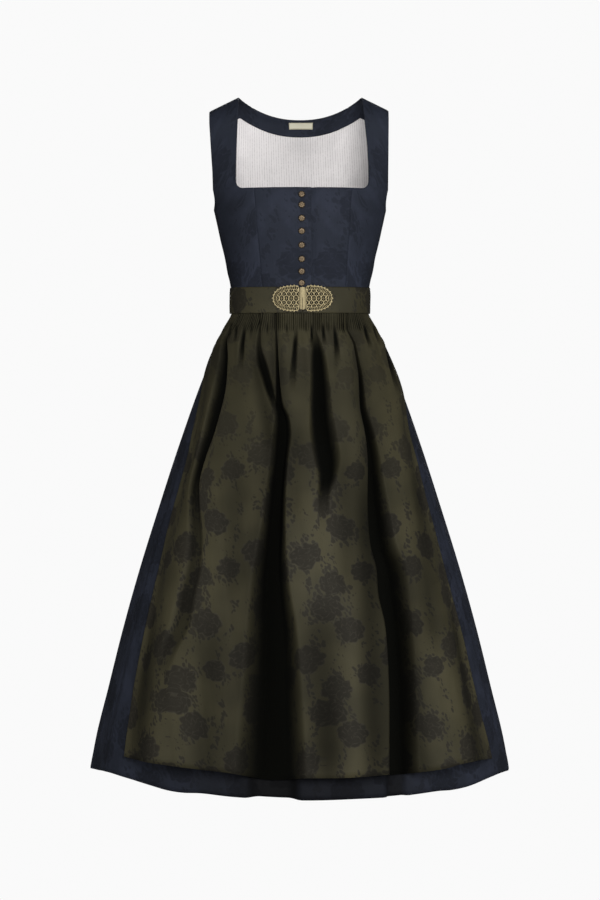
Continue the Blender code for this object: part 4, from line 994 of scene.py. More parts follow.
def waistBelt(material):
    rows, columns = belt["grid"]
    share = np.linspace(0.0, 1.0, rows)[:, None]
    height = belt["top"] + (belt["bottom"] - belt["top"]) * share
    start = beltAngle(clasp["x"] + belt["gap"] / 2.0, height)
    end = beltAngle(clasp["x"] - belt["gap"] / 2.0, height) + 2.0 * math.pi
    angle = start + (end - start) * np.linspace(0.0, 1.0, columns)[None, :]
    base = beltSurface(angle, height)
    widths = arcLengths(base, 1)
    room = np.minimum(share, 1.0 - share) * (belt["top"] - belt["bottom"])
    depth, width = belt["edge"]
    edge = depth * (ease(room / width) - 1.0) + stitchDip(room, belt["stitchHollow"])
    # the cloth lies still behind the clasp
    slack = ease((np.minimum(widths, widths[:, -1:] - widths) - 0.060) / 0.04)
    bend = belt["slack"][0] * waves(widths + 0.5 * height, 83, 5, 0.110, 0.030)
    cross = belt["slack"][1] * waves(height + 0.12 * widths, 85, 3, 0.050, 0.022)
    points = base + beltOutward(angle, height) * (edge + (bend + cross) * slack)[..., None]
    # whole repeats of the pattern all round
    repeats = round(float(widths[0, -1]) / jacquard["repeat"][0]) * jacquard["repeat"][0]
    cutAcross = widths / widths[:, -1:] * repeats + belt["cutPlace"][0]
    flat = np.stack(np.broadcast_arrays(cutAcross, height - belt["top"] + belt["cutPlace"][1]), axis=-1)
    item = makeSheet("waistBelt", points, flat, belt["wall"], material)
    settle(item, "belt")
    return item, gridArea(points)


# Metal shells: points, faces, and how far each point stands up, which the rubbed look follows; on the buttons this
# mark also holds painted shade

def newShell():
    return {"verts": [], "faces": [], "relief": []}


def addPoints(shell, spots, relief):
    # Gives the number of the first point
    start = len(shell["verts"])
    shell["verts"].extend(spots.reshape(-1, 3))
    shell["relief"].extend(np.broadcast_to(relief, spots.shape[:-1]).reshape(-1))
    return start


def addRings(shell, spots, relief):
    # Rings of points, joined into a band
    start = addPoints(shell, spots, relief)
    rings, sides = spots.shape[:2]
    for i in range(rings - 1):
        a = start + i * sides
        b = a + sides
        for k in range(sides):
            j = (k + 1) % sides
            shell["faces"].append((a + k, a + j, b + j, b + k))
    return start


def cornerCounts(kept):
    # How many kept cells meet at each point of a grid
    counts = np.zeros((kept.shape[0] + 1, kept.shape[1] + 1))
    for down, across in ((0, 0), (1, 0), (0, 1), (1, 1)):
        counts[down:down + kept.shape[0], across:across + kept.shape[1]] += kept
    return counts


def addPlate(shell, top, low, relief, kept, flip):
    # Plate between two grids of points where the cells are kept, with walls along its edges
    used = cornerCounts(kept) > 0
    start = addPoints(shell, top[used], relief[used])
    under = addPoints(shell, low[used], 0.0) - start
    number = np.full(used.shape, -1)
    number[used] = np.arange(start, start + under)
    edges = set()
    for r, c in zip(*np.nonzero(kept)):
        quad = tuple(int(number[spot]) for spot in ((r, c), (r, c + 1), (r + 1, c + 1), (r + 1, c)))
        quad = tuple(reversed(quad)) if flip else quad
        shell["faces"] += [quad, tuple(v + under for v in reversed(quad))]
        edges.update((quad[k], quad[(k + 1) % 4]) for k in range(4))
    shell["faces"] += [(b, a, a + under, b + under) for a, b in sorted(edges) if (b, a) not in edges]


def addBead(shell, centre, outward, radius):
    # Small rounded bead, a little flattened
    across = unit(np.cross(outward, np.array([0.0, 0.0, 1.0])))
    upward = np.cross(outward, across)
    tall = outward * radius * 0.85
    sides = 10
    tilt = np.linspace(0.0, math.pi, 6)[1:-1, None, None]
    turn = np.linspace(0.0, 2.0 * math.pi, sides, endpoint=False)[None, :, None]
    spots = centre + radius * np.sin(tilt) * (across * np.cos(turn) + upward * np.sin(turn)) + tall * np.cos(tilt)
    start = addRings(shell, spots, 0.55 + 0.45 * np.cos(tilt[..., 0]))
    top = addPoints(shell, centre + tall, 1.0)
    foot = addPoints(shell, centre - tall, 0.2)
    for k in range(sides):
        j = (k + 1) % sides
        shell["faces"] += [(top, start + j, start + k), (foot, top - sides + k, top - sides + j)]


def shellPiece(name, shell, material, replaced, sharp=50.0):
    mesh = bpy.data.meshes.new(name)
    mesh.from_pydata([tuple(float(v) for v in spot) for spot in shell["verts"]], [], shell["faces"])
    marks = mesh.attributes.new("relief", "FLOAT", "POINT")
    marks.data.foreach_set("value", np.array(shell["relief"], dtype=np.float32))
    mesh.shade_smooth()
    mesh.set_sharp_from_angle(angle=math.radians(sharp))
    settle(linkMesh(name, mesh, material), replaced)


# Clasp: two pierced halves with a scalloped rim, and a smooth bar between them

clasp = {
    "x": 0.0045,
    "z": -0.3625,
    "halfLength": 0.0524,
    "halfHeight": 0.0230,
    "tipPower": 3.7,           # higher for blunter ends
    "sidePower": 0.50,
    "notch": 0.0026,           # beside the bar, top and bottom
    "middle": 0.0245,          # of each half's dome
    "barHalfWidth": 0.0062,
    "barHalfHeight": 0.0190,
    "lift": 0.0003,
    "plate": 0.0013,
    "dome": 0.0016,
    "scallops": 19,
    "cell": 0.00033,           # of the fine grid that the holes are cut from
    "wire": 0.00146,
    "arch": (0.0084, 0.0062),  # width and height of one arch
    "slots": (0.0042, 0.0022),     # two to a scallop: how far in, half length
    "band": 0.0076,            # of solid metal and slots round the arches
    "bead": 0.00125,
    "tipBead": 1.3,            # times as large
    "barGrid": (60, 28),
}


def claspOutward(side, u, h):
    height = clasp["z"] + h
    return beltOutward(beltAngle(clasp["x"] + side * u, height), height)


def claspSpot(side, u, h, lift):
    # Point over the belt: u away from the clasp's middle, h up from its centre line
    height = clasp["z"] + h
    base = beltSurface(beltAngle(clasp["x"] + side * u, height), height)
    return base + claspOutward(side, u, h) * np.asarray(lift)[..., None]


def claspDome(u, h):
    reach = np.hypot((u - clasp["middle"]) / 0.030, h / clasp["halfHeight"])
    return clasp["dome"] * np.clip(1.0 - reach * reach, 0.0, 1.0)


def claspEdge(u):
    # Half height of the clasp's oval, with a shallow notch beside the bar
    shape = np.clip(1.0 - (np.abs(u) / clasp["halfLength"]) ** clasp["tipPower"], 0.0, 1.0)
    notch = clasp["notch"] * np.clip(1.0 - (u - clasp["barHalfWidth"]) / 0.0055, 0.0, 1.0)
    return clasp["halfHeight"] * shape ** clasp["sidePower"] - notch


def claspRim():
    # Places along a half's edge, from the bar's foot round to its top, and how far round each lies
    share = np.linspace(-1.0, 1.0, 1601)
    u = clasp["halfLength"] - (clasp["halfLength"] - clasp["barHalfWidth"]) * np.abs(share) ** 2.2
    h = np.sign(share) * claspEdge(u)
    run = np.concatenate([[0.0], np.cumsum(np.hypot(np.diff(u), np.diff(h)))])
    return u, h, run / run[-1] * clasp["scallops"], run[-1] / clasp["scallops"]


def claspMetal(u, h):
    # Positive on the metal and negative in the holes and outside, in metres
    rimU, rimH, rimTurn, pitch = claspRim()
    gap = np.full(u.shape, 9.0)
    turn = np.zeros(u.shape)
    for edgeU, edgeH, edgeTurn in zip(rimU[::4], rimH[::4], rimTurn[::4]):
        away = np.hypot(u - edgeU, h - edgeH)
        turn = np.where(away < gap, edgeTurn, turn)
        gap = np.minimum(gap, away)
    depth = np.where(np.abs(h) < claspEdge(u), gap, -gap)
    outline = depth - 0.0005 + 0.0009 * np.abs(np.sin(math.pi * turn))
    across = (np.abs((2.0 * turn) % 1.0 - 0.5) - 0.25) * pitch / 2.0
    slots = np.maximum(across, np.abs(depth - clasp["slots"][0]) - clasp["slots"][1])
    # rows of arches inside, each with a tongue, turned over below the centre line
    wide, tall = clasp["arch"]
    wire = clasp["wire"]
    arches = np.maximum(wire * 0.40 - np.abs(h), clasp["barHalfWidth"] + 0.0012 - u)
    for row in range(5):
        up = np.abs(h) + 0.0005 - row * tall
        along = (u - clasp["barHalfWidth"] - 0.0010 - 0.5 * wide * (row % 2)) % wide - wide / 2.0
        arc = wire / 2.0 - np.abs(np.hypot(along / (wide / 2.0), up / tall) - 1.0) * 0.42 * wide
        tongue = np.minimum(wire * 0.42 - np.abs(along), 0.62 * tall - up)
        here = np.where((up >= 0.0) & (up <= tall * 1.02), np.maximum(arc, tongue), -9.0)
        arches = np.maximum(arches, here)
    return np.minimum(np.minimum(outline, slots), np.maximum(arches, clasp["band"] - depth))


def claspHalf(name, side, material, replaced):
    # A fine grid, kept where there is metal and drawn to the edges of the holes
    shell = newShell()
    cell = clasp["cell"]
    start = clasp["barHalfWidth"] + clasp["lift"]
    reach = 2.5 * cell
    u, h = np.meshgrid(
        np.arange(start, clasp["halfLength"] + reach, cell),
        np.arange(-clasp["halfHeight"] - reach, clasp["halfHeight"] + reach, cell),
    )
    metal = claspMetal(u, h)
    slopeH, slopeU = np.gradient(metal, cell)
    kept = (metal[:-1, :-1] + metal[1:, :-1] + metal[:-1, 1:] + metal[1:, 1:]) / 4.0 > 0.0
    around = cornerCounts(kept)
    edge = (around > 0) & (around < 4)
    pull = -metal / np.maximum(slopeU ** 2 + slopeH ** 2, 0.2) * edge
    u = np.maximum(u + np.clip(pull * slopeU, -0.6 * cell, 0.6 * cell), start)
    h = h + np.clip(pull * slopeH, -0.6 * cell, 0.6 * cell)
    swell = ease(np.where(edge, 0.0, metal) / 0.0006)
    foot = clasp["lift"] + claspDome(u, h)
    top = claspSpot(side, u, h, foot + clasp["plate"] - 0.0005 + 0.0007 * swell)
    addPlate(shell, top, claspSpot(side, u, h, foot), 0.28 + 0.60 * swell, kept, side < 0)
    rimU, rimH, rimTurn, _ = claspRim()
    for k in range(clasp["scallops"]):
        beadU = np.interp(k + 0.5, rimTurn, rimU)
        beadH = np.interp(k + 0.5, rimTurn, rimH)
        radius = clasp["bead"] * (clasp["tipBead"] if k == clasp["scallops"] // 2 else 1.0)
        centre = claspSpot(side, beadU, beadH, clasp["lift"] + radius)
        addBead(shell, centre, claspOutward(side, beadU, beadH), radius)
    shellPiece(name, shell, material, replaced)


def claspBar(material):
    # Smooth upright bar; a fine seam shows in its lower half
    shell = newShell()
    rows, columns = clasp["barGrid"]
    part = np.linspace(-1.0, 1.0, columns)[None, :]
    share = np.linspace(1.0, -1.0, rows)[:, None]
    h = clasp["barHalfHeight"] * share * (1.0 + 0.05 * (1.0 - np.abs(part)))
    u = clasp["barHalfWidth"] * part * (0.80 + 0.20 * (1.0 - np.abs(share) ** 4))
    body = 0.0009 * (1.0 - part * part) * (1.0 - 0.5 * np.abs(share) ** 6)
    seam = bell((part + 0.02) / 0.07) * ease((0.15 - share) / 0.2)
    foot = clasp["lift"] + 0.4 * clasp["dome"]
    top = claspSpot(1, u, h, foot + clasp["plate"] + body - 0.00045 * seam)
    relief = 0.42 + 0.14 * (1.0 - part ** 2) - 0.34 * seam
    addPlate(shell, top, claspSpot(1, u, h, foot), relief, np.ones((rows - 1, columns - 1)) > 0.0, True)
    shellPiece("claspBar", shell, material, "clasp_bar")


# Buttons: round, with an embossed flower

button = {
    "radius": 0.0062,
    "height": 0.0040,
    "x": 0.0030,
    "heights": (-0.1809, -0.1995, -0.2222, -0.2443, -0.2686, -0.2929, -0.3144, -0.3350),
    "petals": 8,
    "sides": 72,
    "seat": 0.0006,
    # rings of points from the rim to the middle
    "rings": (1.0, 1.0, 0.985, 0.95, 0.91, 0.87, 0.82, 0.75, 0.68, 0.60, 0.52, 0.44, 0.37, 0.31, 0.26, 0.20, 0.13,
              0.06),
}


def flowerButton(number, height, material):
    angle, turn = bodicePlace(np.array(button["x"]), np.array(height))
    outward = bodiceOutward(angle, turn)
    seat = bodiceSurface(angle, turn) + outward * button["seat"]
    seat = seat + np.array([0.0, -halfSeam, 0.0])
    right = unit(np.cross(np.array([0.0, 0.0, 1.0]), outward))
    up = np.cross(outward, right)
    sides = button["sides"]
    r = np.array(button["rings"])[:, None]
    theta = np.linspace(0.0, 2.0 * math.pi, sides, endpoint=False)[None, :]
    turned = button["petals"] * (theta + 0.2 * number)
    rise = 0.30 + 0.60 * np.sqrt(np.clip(1.0 - r ** 2.4, 0.0, 1.0))
    rope = 0.05 * bell((r - 0.93) / 0.035) * (1.0 + 0.5 * np.cos(30.0 * theta))
    petal = 0.11 * np.abs(np.cos(turned / 2.0)) ** 0.7 * ease((0.90 - r) / 0.10) * ease((r - 0.30) / 0.10)
    groove = -0.07 * bell((r - 0.86) / 0.03) - 0.06 * bell((r - 0.31) / 0.03)
    heart = 0.07 * bell((r - 0.10) / 0.16) + 0.012 * np.cos(turned) * bell((r - 0.2) / 0.08)
    rise = rise + rope + petal + groove + heart
    rise[0] = 0.0
    around = right * np.cos(theta)[..., None] + up * np.sin(theta)[..., None]
    spots = seat + button["radius"] * r[..., None] * around + outward * (button["height"] * rise)[..., None]
    # partly wear and partly painted light: dull in the grooves as worn metal is, darker towards the rim as painted
    # shade of the dome, with a painted highlight in the middle
    relief = 0.36 + 4.2 * (petal + heart) + 1.6 * rope + 3.0 * groove
    relief = relief - 0.30 * ease((r - 0.45) / 0.40) - 0.3 * ease((r - 0.93) / 0.07)
    shell = newShell()
    addRings(shell, spots, np.clip(relief, 0.0, 1.0))
    last = (len(r) - 1) * sides
    shell["faces"] += [tuple(reversed(range(sides))), tuple(range(last, last + sides))]
    shellPiece("flowerButton%d" % number, shell, material, "button_%d" % number, 60.0)


# Node helpers: a wire is a node's output, and sums and products of wires place the nodes for them

def nodeIn(tree, kind, **settings):
    node = tree.nodes.new(kind)
    for key, value in settings.items():
        setattr(node, key, value)
    return node


def feed(socket, value):
    # A value is a wire, a plain number or a tuple
    if isinstance(value, Wire):
        socket.id_data.links.new(value.socket, socket)
    elif socket.type == "RGBA" and len(value) == 3:
        socket.default_value = (*value, 1.0)
    else:
        socket.default_value = value


def placeNode(tree, kind, inputs, output=0, **settings):
    # Places a node, feeds its inputs by number or name, and gives the wire of one output
    node = nodeIn(tree, kind, **settings)
    for key, value in inputs.items():
        feed(node.inputs[key], value)
    return Wire(node.outputs[output])


class Wire:
    def __init__(self, socket):
        self.socket = socket
        self.tree = socket.id_data

    def math(self, operation, *others, clamp=False):
        values = dict(enumerate((self, *others)))
        return placeNode(self.tree, "ShaderNodeMath", values, operation=operation, use_clamp=clamp)

    __add__ = partialmethod(math, "ADD")
    __sub__ = partialmethod(math, "SUBTRACT")
    __mul__ = partialmethod(math, "MULTIPLY")
    __truediv__ = partialmethod(math, "DIVIDE")
    __pow__ = partialmethod(math, "POWER")
    __abs__ = partialmethod(math, "ABSOLUTE")

    def __rsub__(self, other):
        return placeNode(self.tree, "ShaderNodeMath", {0: other, 1: self}, operation="SUBTRACT")

    def vector(self, operation, *others):
        values = dict(enumerate((self, *others)))
        output = "Value" if operation == "LENGTH" else "Vector"
        return placeNode(self.tree, "ShaderNodeVectorMath", values, output, operation=operation)

    def split(self):
        node = nodeIn(self.tree, "ShaderNodeSeparateXYZ")
        feed(node.inputs[0], self)
        return Wire(node.outputs[0]), Wire(node.outputs[1])

    def join(self, y):
        return placeNode(self.tree, "ShaderNodeCombineXYZ", {0: self, 1: y})

    def ramp(self, low, high, start=0.0, end=1.0):
        # smooth step from low to high
        values = {"Value": self, "From Min": low, "From Max": high, "To Min": start, "To Max": end}
        return placeNode(self.tree, "ShaderNodeMapRange", values, "Result", interpolation_type="SMOOTHSTEP")

    def between(self, a, b):
        # the first colour or number at 0 and the second at 1
        if isinstance(a, tuple) or isinstance(b, tuple) or (isinstance(a, Wire) and a.socket.type == "RGBA"):
            return placeNode(self.tree, "ShaderNodeMix", {0: self, 6: a, 7: b}, 2, data_type="RGBA")
        return placeNode(self.tree, "ShaderNodeMix", {0: self, 2: a, 3: b}, 0, data_type="FLOAT")

    def noise(self, scale, detail=2.0, roughness=0.5, output="Fac"):
        values = {"Vector": self, "Scale": scale, "Detail": detail, "Roughness": roughness}
        return placeNode(self.tree, "ShaderNodeTexNoise", values, output)

    def cells(self, scale, feature="F1", randomness=1.0):
        values = {"Vector": self, "Scale": scale, "Randomness": randomness}
        return placeNode(self.tree, "ShaderNodeTexVoronoi", values, "Distance", voronoi_dimensions="2D",
                         feature=feature)


def makeGroup(name, inputs, build):
    # Shader node group: inputs by name with their defaults, and build gives its outputs by name
    tree = bpy.data.node_groups.new(name, "ShaderNodeTree")
    for label, value in inputs.items():
        kind = "Vector" if value is None else "Color" if isinstance(value, tuple) else "Float"
        socket = tree.interface.new_socket(name=label, in_out="INPUT", socket_type="NodeSocket" + kind)
        if value is not None:
            socket.default_value = value
    given = nodeIn(tree, "NodeGroupInput").outputs
    results = build(*[Wire(given[label]) for label in inputs])
    for label, wire in results.items():
        kind = "Color" if wire.socket.type == "RGBA" else "Float"
        tree.interface.new_socket(name=label, in_out="OUTPUT", socket_type="NodeSocket" + kind)
    out = nodeIn(tree, "NodeGroupOutput").inputs
    for label, wire in results.items():
        feed(out[label], wire)
    return tree


def useGroup(tree, group, **values):
    # Places a group; underscores in the names stand for spaces
    node = nodeIn(tree, "ShaderNodeGroup", node_tree=group)
    for key, value in values.items():
        feed(node.inputs[key.replace("_", " ")], value)
    return {socket.name: Wire(socket) for socket in node.outputs}


# Figure of the brocade: full round flowers with curled petals, and small buds and leaves about them

jacquard = {
    "repeat": (0.150, 0.176, 1.0),
    # place of each flower on the cut, width, turn
    "flowers": (
        ((0.050, 0.150, 0.0), 0.058, 0.3),
        ((0.086, 0.115, 0.0), 0.055, 1.7),
        ((0.016, 0.066, 0.0), 0.058, 2.9),
        ((0.116, 0.038, 0.0), 0.044, 4.1),
        ((0.062, 0.014, 0.0), 0.050, 5.2),
    ),
    "petals": (1.45, 2.6),     # petals per radian, rings per half width
    "budSize": 0.0064,
    "stemPitch": 0.050,
}


def flowerSpotBody(cut, centre, width, start, nearest, nearestTurn):
    # Distance from one flower's middle in half widths, and the turn about it, in every repeat
    half = tuple(v / 2.0 for v in jacquard["repeat"])
    local = cut.vector("SUBTRACT", centre).vector("WRAP", half, tuple(-v for v in half))
    local = local.vector("MULTIPLY", (2.0, 2.35, 0.0))
    x, y = local.split()
    reach = local.vector("LENGTH") / width
    turn = y.math("ARCTAN2", x) + start
    closer = reach.math("LESS_THAN", nearest)
    return {"Reach": reach.math("MINIMUM", nearest), "Turn": closer.between(nearestTurn, turn)}


flowerSpot = makeGroup(
    "flowerSpot",
    {"Cut": None, "Centre": None, "Width": 0.046, "Turn": 0.0, "Nearest": 9.0, "Nearest Turn": 0.0},
    flowerSpotBody,
)


def flowerFigureBody(given):
    # All the motifs of one repeat together, on slightly uneven ground
    shift = given.noise(52.0, 1.0, output="Color").vector("SUBTRACT", (0.5, 0.5, 0.5))
    cut = given.vector("ADD", shift.vector("MULTIPLY", (0.012, 0.012, 0.0)))
    reach = 9.0
    turn = 0.0
    for centre, width, start in jacquard["flowers"]:
        found = useGroup(cut.tree, flowerSpot, Cut=cut, Centre=centre, Width=width, Turn=start, Nearest=reach,
                         Nearest_Turn=turn)
        reach = found["Reach"]
        turn = found["Turn"]
    # outline with shallow petals
    room = abs((turn * 4.5).math("SINE")) * 0.15 + 0.86 - reach
    heads = room.ramp(-0.05, 0.07)
    # curled petals: cells that run round the flower's middle
    across, rings = jacquard["petals"]
    twist = reach * 1.3 + turn * across
    petalLine = twist.join(reach * rings).cells(1.0, "DISTANCE_TO_EDGE", 0.85).ramp(0.13, 0.02)
    rim = abs(room - 0.02).ramp(0.075, 0.02)
    lines = petalLine.math("MAXIMUM", rim) * cut.noise(150.0, 1.0).ramp(0.36, 0.62) * room.ramp(-0.10, -0.02)
    # buds and leaves: close to the flowers, and along wavering upright stems
    x, y = cut.split()
    sway = (y * 36.0).math("SINE") * 0.011
    stem = abs(((x + sway) / jacquard["stemPitch"]).math("FRACT") - 0.5)
    spray = given.noise(24.0, 1.0)
    near = reach.ramp(1.85, 1.15) * spray.ramp(0.47, 0.59)
    along = stem.ramp(0.17, 0.09) * spray.ramp(0.56, 0.46)
    thick = near.math("MAXIMUM", along * 0.9)
    gap = thick * 0.52 - (y * 0.45 + x).join(y * 0.72).cells(1.0 / jacquard["budSize"])
    free = 1.0 - heads
    budRim = abs(gap).ramp(0.10, 0.02) * free * thick.ramp(0.5, 0.9)
    return {
        "Heads": heads,
        "Leaves": gap.ramp(-0.06, 0.06) * free,
        "Lines": lines.math("MAXIMUM", budRim * 0.75),
    }


def threadsBody(cut, pitch, slant):
    # Woven ground: fine warp and weft ribs, and slubs that run with the warp
    x, y = cut.split()
    warp = ((y * slant + x) / pitch * (2.0 * math.pi)).math("SINE")
    weft = (y / pitch * (2.0 * math.pi)).math("SINE")
    return {
        "Height": warp * 0.35 + (weft * 0.15 + 0.5),
        "Slub": (x * 420.0).join(y * 14.0).noise(1.0),
    }


def paintedFoldShadeBody(mark, strength):
    # Painted shade: how much light reaches into a fold, from the mark that the cloth carries
    return {"Light": (1.0 - mark.math("MULTIPLY", strength, clamp=True)) ** 1.6}


def shirringBody(turn, strength):
    # Fine gathers: painted shade in their valleys, as how much light reaches into them, and their height
    crest = (turn * (2.0 * math.pi)).math("COSINE") * 0.5 + 0.5
    valley = (1.0 - crest) ** 1.6
    shade = (valley * 0.80 + 0.20).math("MULTIPLY", strength, clamp=True)
    return {"Light": 1.0 - shade, "Height": crest * strength}


def metalWearBody(relief, rubbedColour, dullColour, grain):
    # Old plated metal: dull in the hollows, rubbed bright on what stands up
    place = placeNode(relief.tree, "ShaderNodeTexCoord", {}, "Object")
    cloud = place.noise(grain, 3.0, 0.6)
    rubbed = (relief + (cloud - 0.5) * 0.45).ramp(0.20, 0.72)
    return {
        "Colour": rubbed.between(dullColour, rubbedColour),
        "Roughness": rubbed.between(0.72, 0.58),
        "Height": cloud,
    }


flowerFigure = makeGroup("flowerFigure", {"Cut": None}, flowerFigureBody)
threads = makeGroup("threads", {"Cut": None, "Pitch": 0.0006, "Slant": 0.5}, threadsBody)
paintedFoldShade = makeGroup("paintedFoldShade", {"Mark": 0.0, "Strength": 1.0}, paintedFoldShadeBody)
shirring = makeGroup("shirring", {"Turn": 0.0, "Strength": 0.0}, shirringBody)
metalWear = makeGroup(
    "metalWear",
    {"Relief": 0.5, "Rubbed": (0.6, 0.5, 0.3, 1.0), "Dull": (0.1, 0.08, 0.05, 1.0), "Grain": 900.0},
    metalWearBody,
)


# Materials

def startMaterial(name):
    material = bpy.data.materials.new(name)
    material.use_nodes = True
    return material, material.node_tree


def cutOf(tree):
    return placeNode(tree, "ShaderNodeUVMap", {}, "UV", uv_map="cut")


# Reads a mark that the cloth carries; the paintedShade mark is painted shade in folds, creases and turned-away
# sides
def markOf(tree, label="paintedShade"):
    return placeNode(tree, "ShaderNodeAttribute", {}, "Fac", attribute_name=label)


def finishMaterial(material, look, colour, roughness, height):
    tree = material.node_tree
    strength, distance = look["bump"]
    bump = placeNode(tree, "ShaderNodeBump", {"Height": height, "Strength": strength, "Distance": distance})
    values = {"Base Color": colour, "Roughness": roughness, "Normal": bump, "Specular IOR Level": look["specular"],
              "Metallic": look.get("metallic", 0.0)}
    for label, value in values.items():
        feed(tree.nodes["Principled BSDF"].inputs[label], value)
    return material


oliveLook = {
    "ground": (0.0740, 0.0660, 0.0362),
    "groundDark": (0.0500, 0.0452, 0.0256),
    "figure": (0.0262, 0.0234, 0.0178),
    "line": (0.0700, 0.0640, 0.0460),
    # near black colour painted deep in the folds as shade
    "deepFold": (0.0010, 0.0011, 0.0004),
    "roughness": (0.50, 0.62, 0.95),    # ground, figure, deep in a fold
    "bump": (0.35, 0.0004),             # strength, distance
    "specular": 0.10,
    "apron": (1.0, 0.86, 0.50),         # how strong the painted shade in its folds is, brightness, share of the figure at its top
    "belt": (0.0, 0.68, 0.85),
}


def oliveBrocade(name, foldStrength, brightness, upperFigure):
    material, tree = startMaterial(name)
    cut = cutOf(tree)
    figure = useGroup(tree, flowerFigure, Cut=cut)
    weave = useGroup(tree, threads, Cut=cut, Pitch=0.0007, Slant=0.6)
    dark = oliveLook["groundDark"]
    tone = (weave["Slub"] * 0.35).between(cut.noise(9.0).ramp(0.35, 0.65).between(dark, oliveLook["ground"]), dark)
    gathered = markOf(tree, "gatherStrength")
    # gathers break the figure up, and it shows less in the upper part
    shown = (gathered * -0.65).math("ADD", 1.0, clamp=True) * cut.split()[1].ramp(-0.40, -0.10, 1.0, upperFigure)
    for motif, weight, look in (("Heads", 0.92, "figure"), ("Leaves", 0.80, "figure"), ("Lines", 0.42, "line")):
        tone = (figure[motif] * weight * shown).between(tone, oliveLook[look])
    tone = tone.vector("MULTIPLY", (brightness, brightness, brightness))
    gathers = useGroup(tree, shirring, Turn=markOf(tree, "gatherTurn"), Strength=gathered)
    # painted shade: the colour goes towards near black in the folds and in the valleys of the gathers
    light = useGroup(tree, paintedFoldShade, Mark=markOf(tree), Strength=foldStrength)["Light"] * gathers["Light"]
    plain, figured, deep = oliveLook["roughness"]
    rough = light.between(deep, figure["Heads"].between(plain, figured))
    height = figure["Heads"] * 0.5 + weave["Height"] * 0.5 - figure["Lines"] * 0.35 + gathers["Height"] * 3.0
    return finishMaterial(material, oliveLook, light.between(oliveLook["deepFold"], tone), rough, height)


navyLook = {
    "ground": (0.0200, 0.0240, 0.0360),
    "light": (0.0330, 0.0385, 0.0600),
    "dark": (0.0100, 0.0118, 0.0172),
    # near black colour painted deep in the folds as shade
    "deepFold": (0.0012, 0.0013, 0.0017),
    "roughness": (0.74, 0.82),      # ground, figure
    "bump": (0.30, 0.0003),
    "specular": 0.14,
    "bodice": (0.75, 1.06),         # contrast of the figure, brightness
    "skirt": (0.95, 1.0),
}


def navyDamask(name, contrast, brightness):
    # Navy cloth with a faint tone-in-tone figure
    material, tree = startMaterial(name)
    cut = cutOf(tree)
    figure = useGroup(tree, flowerFigure, Cut=cut.vector("MULTIPLY", (0.80, 0.80, 1.0)))
    weave = useGroup(tree, threads, Cut=cut, Pitch=0.0008, Slant=0.3)
    patch = cut.noise(16.0, 3.0, 0.6).ramp(0.42, 0.66)
    tone = (patch * (contrast * 0.7)).between(navyLook["ground"], navyLook["light"])
    for motif, weight, look in (("Heads", 0.75, "dark"), ("Leaves", 0.60, "dark"), ("Lines", 0.45, "light")):
        tone = (figure[motif] * (contrast * weight)).between(tone, navyLook[look])
    tone = (weave["Slub"] * 0.30).between(tone, navyLook["dark"])
    tone = tone.vector("MULTIPLY", (brightness, brightness, brightness))
    # painted shade from the cloth's mark: the colour goes towards near black
    light = useGroup(tree, paintedFoldShade, Mark=markOf(tree), Strength=1.0)["Light"]
    rough = figure["Heads"].between(*navyLook["roughness"])
    return finishMaterial(material, navyLook, light.between(navyLook["deepFold"], tone), rough, weave["Height"])


liningLook = {
    "ground": (0.880, 0.850, 0.845),
    "cloud": (0.790, 0.765, 0.760),
    "stripe": (0.470, 0.425, 0.425),
    "pitch": 0.0046,
    "roughness": 0.85,
    "bump": (0.25, 0.0003),
    "specular": 0.2,
}


def stripedLining():
    # Pale lining with fine, slightly uneven upright pinstripes
    material, tree = startMaterial("stripedLining")
    cut = cutOf(tree)
    x, y = cut.split()
    drift = (x * 26.0).join(y * 9.0).noise(1.0)
    gap = abs((((drift - 0.5) * 0.0022 + x) / liningLook["pitch"]).math("FRACT") - 0.5)
    stripe = gap.ramp(0.20, 0.06) * cut.noise(260.0).ramp(0.25, 0.70, 0.35, 1.0)
    colour = cut.noise(22.0).ramp(0.40, 0.75).between(liningLook["ground"], liningLook["cloud"])
    colour = (stripe * 0.75).between(colour, liningLook["stripe"])
    colour = (gap.ramp(0.42, 0.48) * 0.35).between(colour, liningLook["stripe"])
    weave = useGroup(tree, threads, Cut=cut, Pitch=0.0007, Slant=0.0)
    return finishMaterial(material, liningLook, colour, liningLook["roughness"], weave["Height"] + stripe)


labelLook = {
    "rib": (0.70, 0.66, 0.50),
    "ribLight": (0.80, 0.77, 0.62),
    "border": (0.42, 0.37, 0.24),
    "roughness": 0.7,
    "bump": (0.3, 0.0002),
    "specular": 0.5,
}


def wovenLabel():
    # Cream label: close ribs, a narrow woven border and nothing else
    material, tree = startMaterial("wovenLabel")
    cut = cutOf(tree)
    x, y = cut.split()
    rib = (y * 9000.0).math("SINE") * 0.5 + 0.5
    halfWidth = inside["labelWidth"] / 2.0
    halfHeight = inside["labelHeight"] / 2.0
    ends = abs(x).ramp(halfWidth - 0.0022, halfWidth - 0.0014)
    edge = ends.math("MAXIMUM", abs(y + halfHeight).ramp(halfHeight - 0.0018, halfHeight - 0.0010))
    colour = (edge * 0.45).between(rib.between(labelLook["rib"], labelLook["ribLight"]), labelLook["border"])
    return finishMaterial(material, labelLook, colour, labelLook["roughness"], rib)


metalLook = {
    # colour where it is rubbed, colour in the hollows, grains to a metre
    "clasp": ((0.46, 0.385, 0.22), (0.075, 0.060, 0.034), 1400.0),
    "buttons": ((0.27, 0.20, 0.125), (0.030, 0.024, 0.018), 2200.0),
    "bump": (0.15, 0.0002),
    "specular": 0.3,
    "metallic": 0.60,
}


def oldMetal(name, rubbed, dull, grain):
    material, tree = startMaterial(name)
    wear = useGroup(tree, metalWear, Relief=markOf(tree, "relief"), Rubbed=rubbed, Dull=dull, Grain=grain)
    return finishMaterial(material, metalLook, wear["Colour"], wear["Roughness"], wear["Height"])


# Stage: pale floor and backdrop, soft light from the camera's side

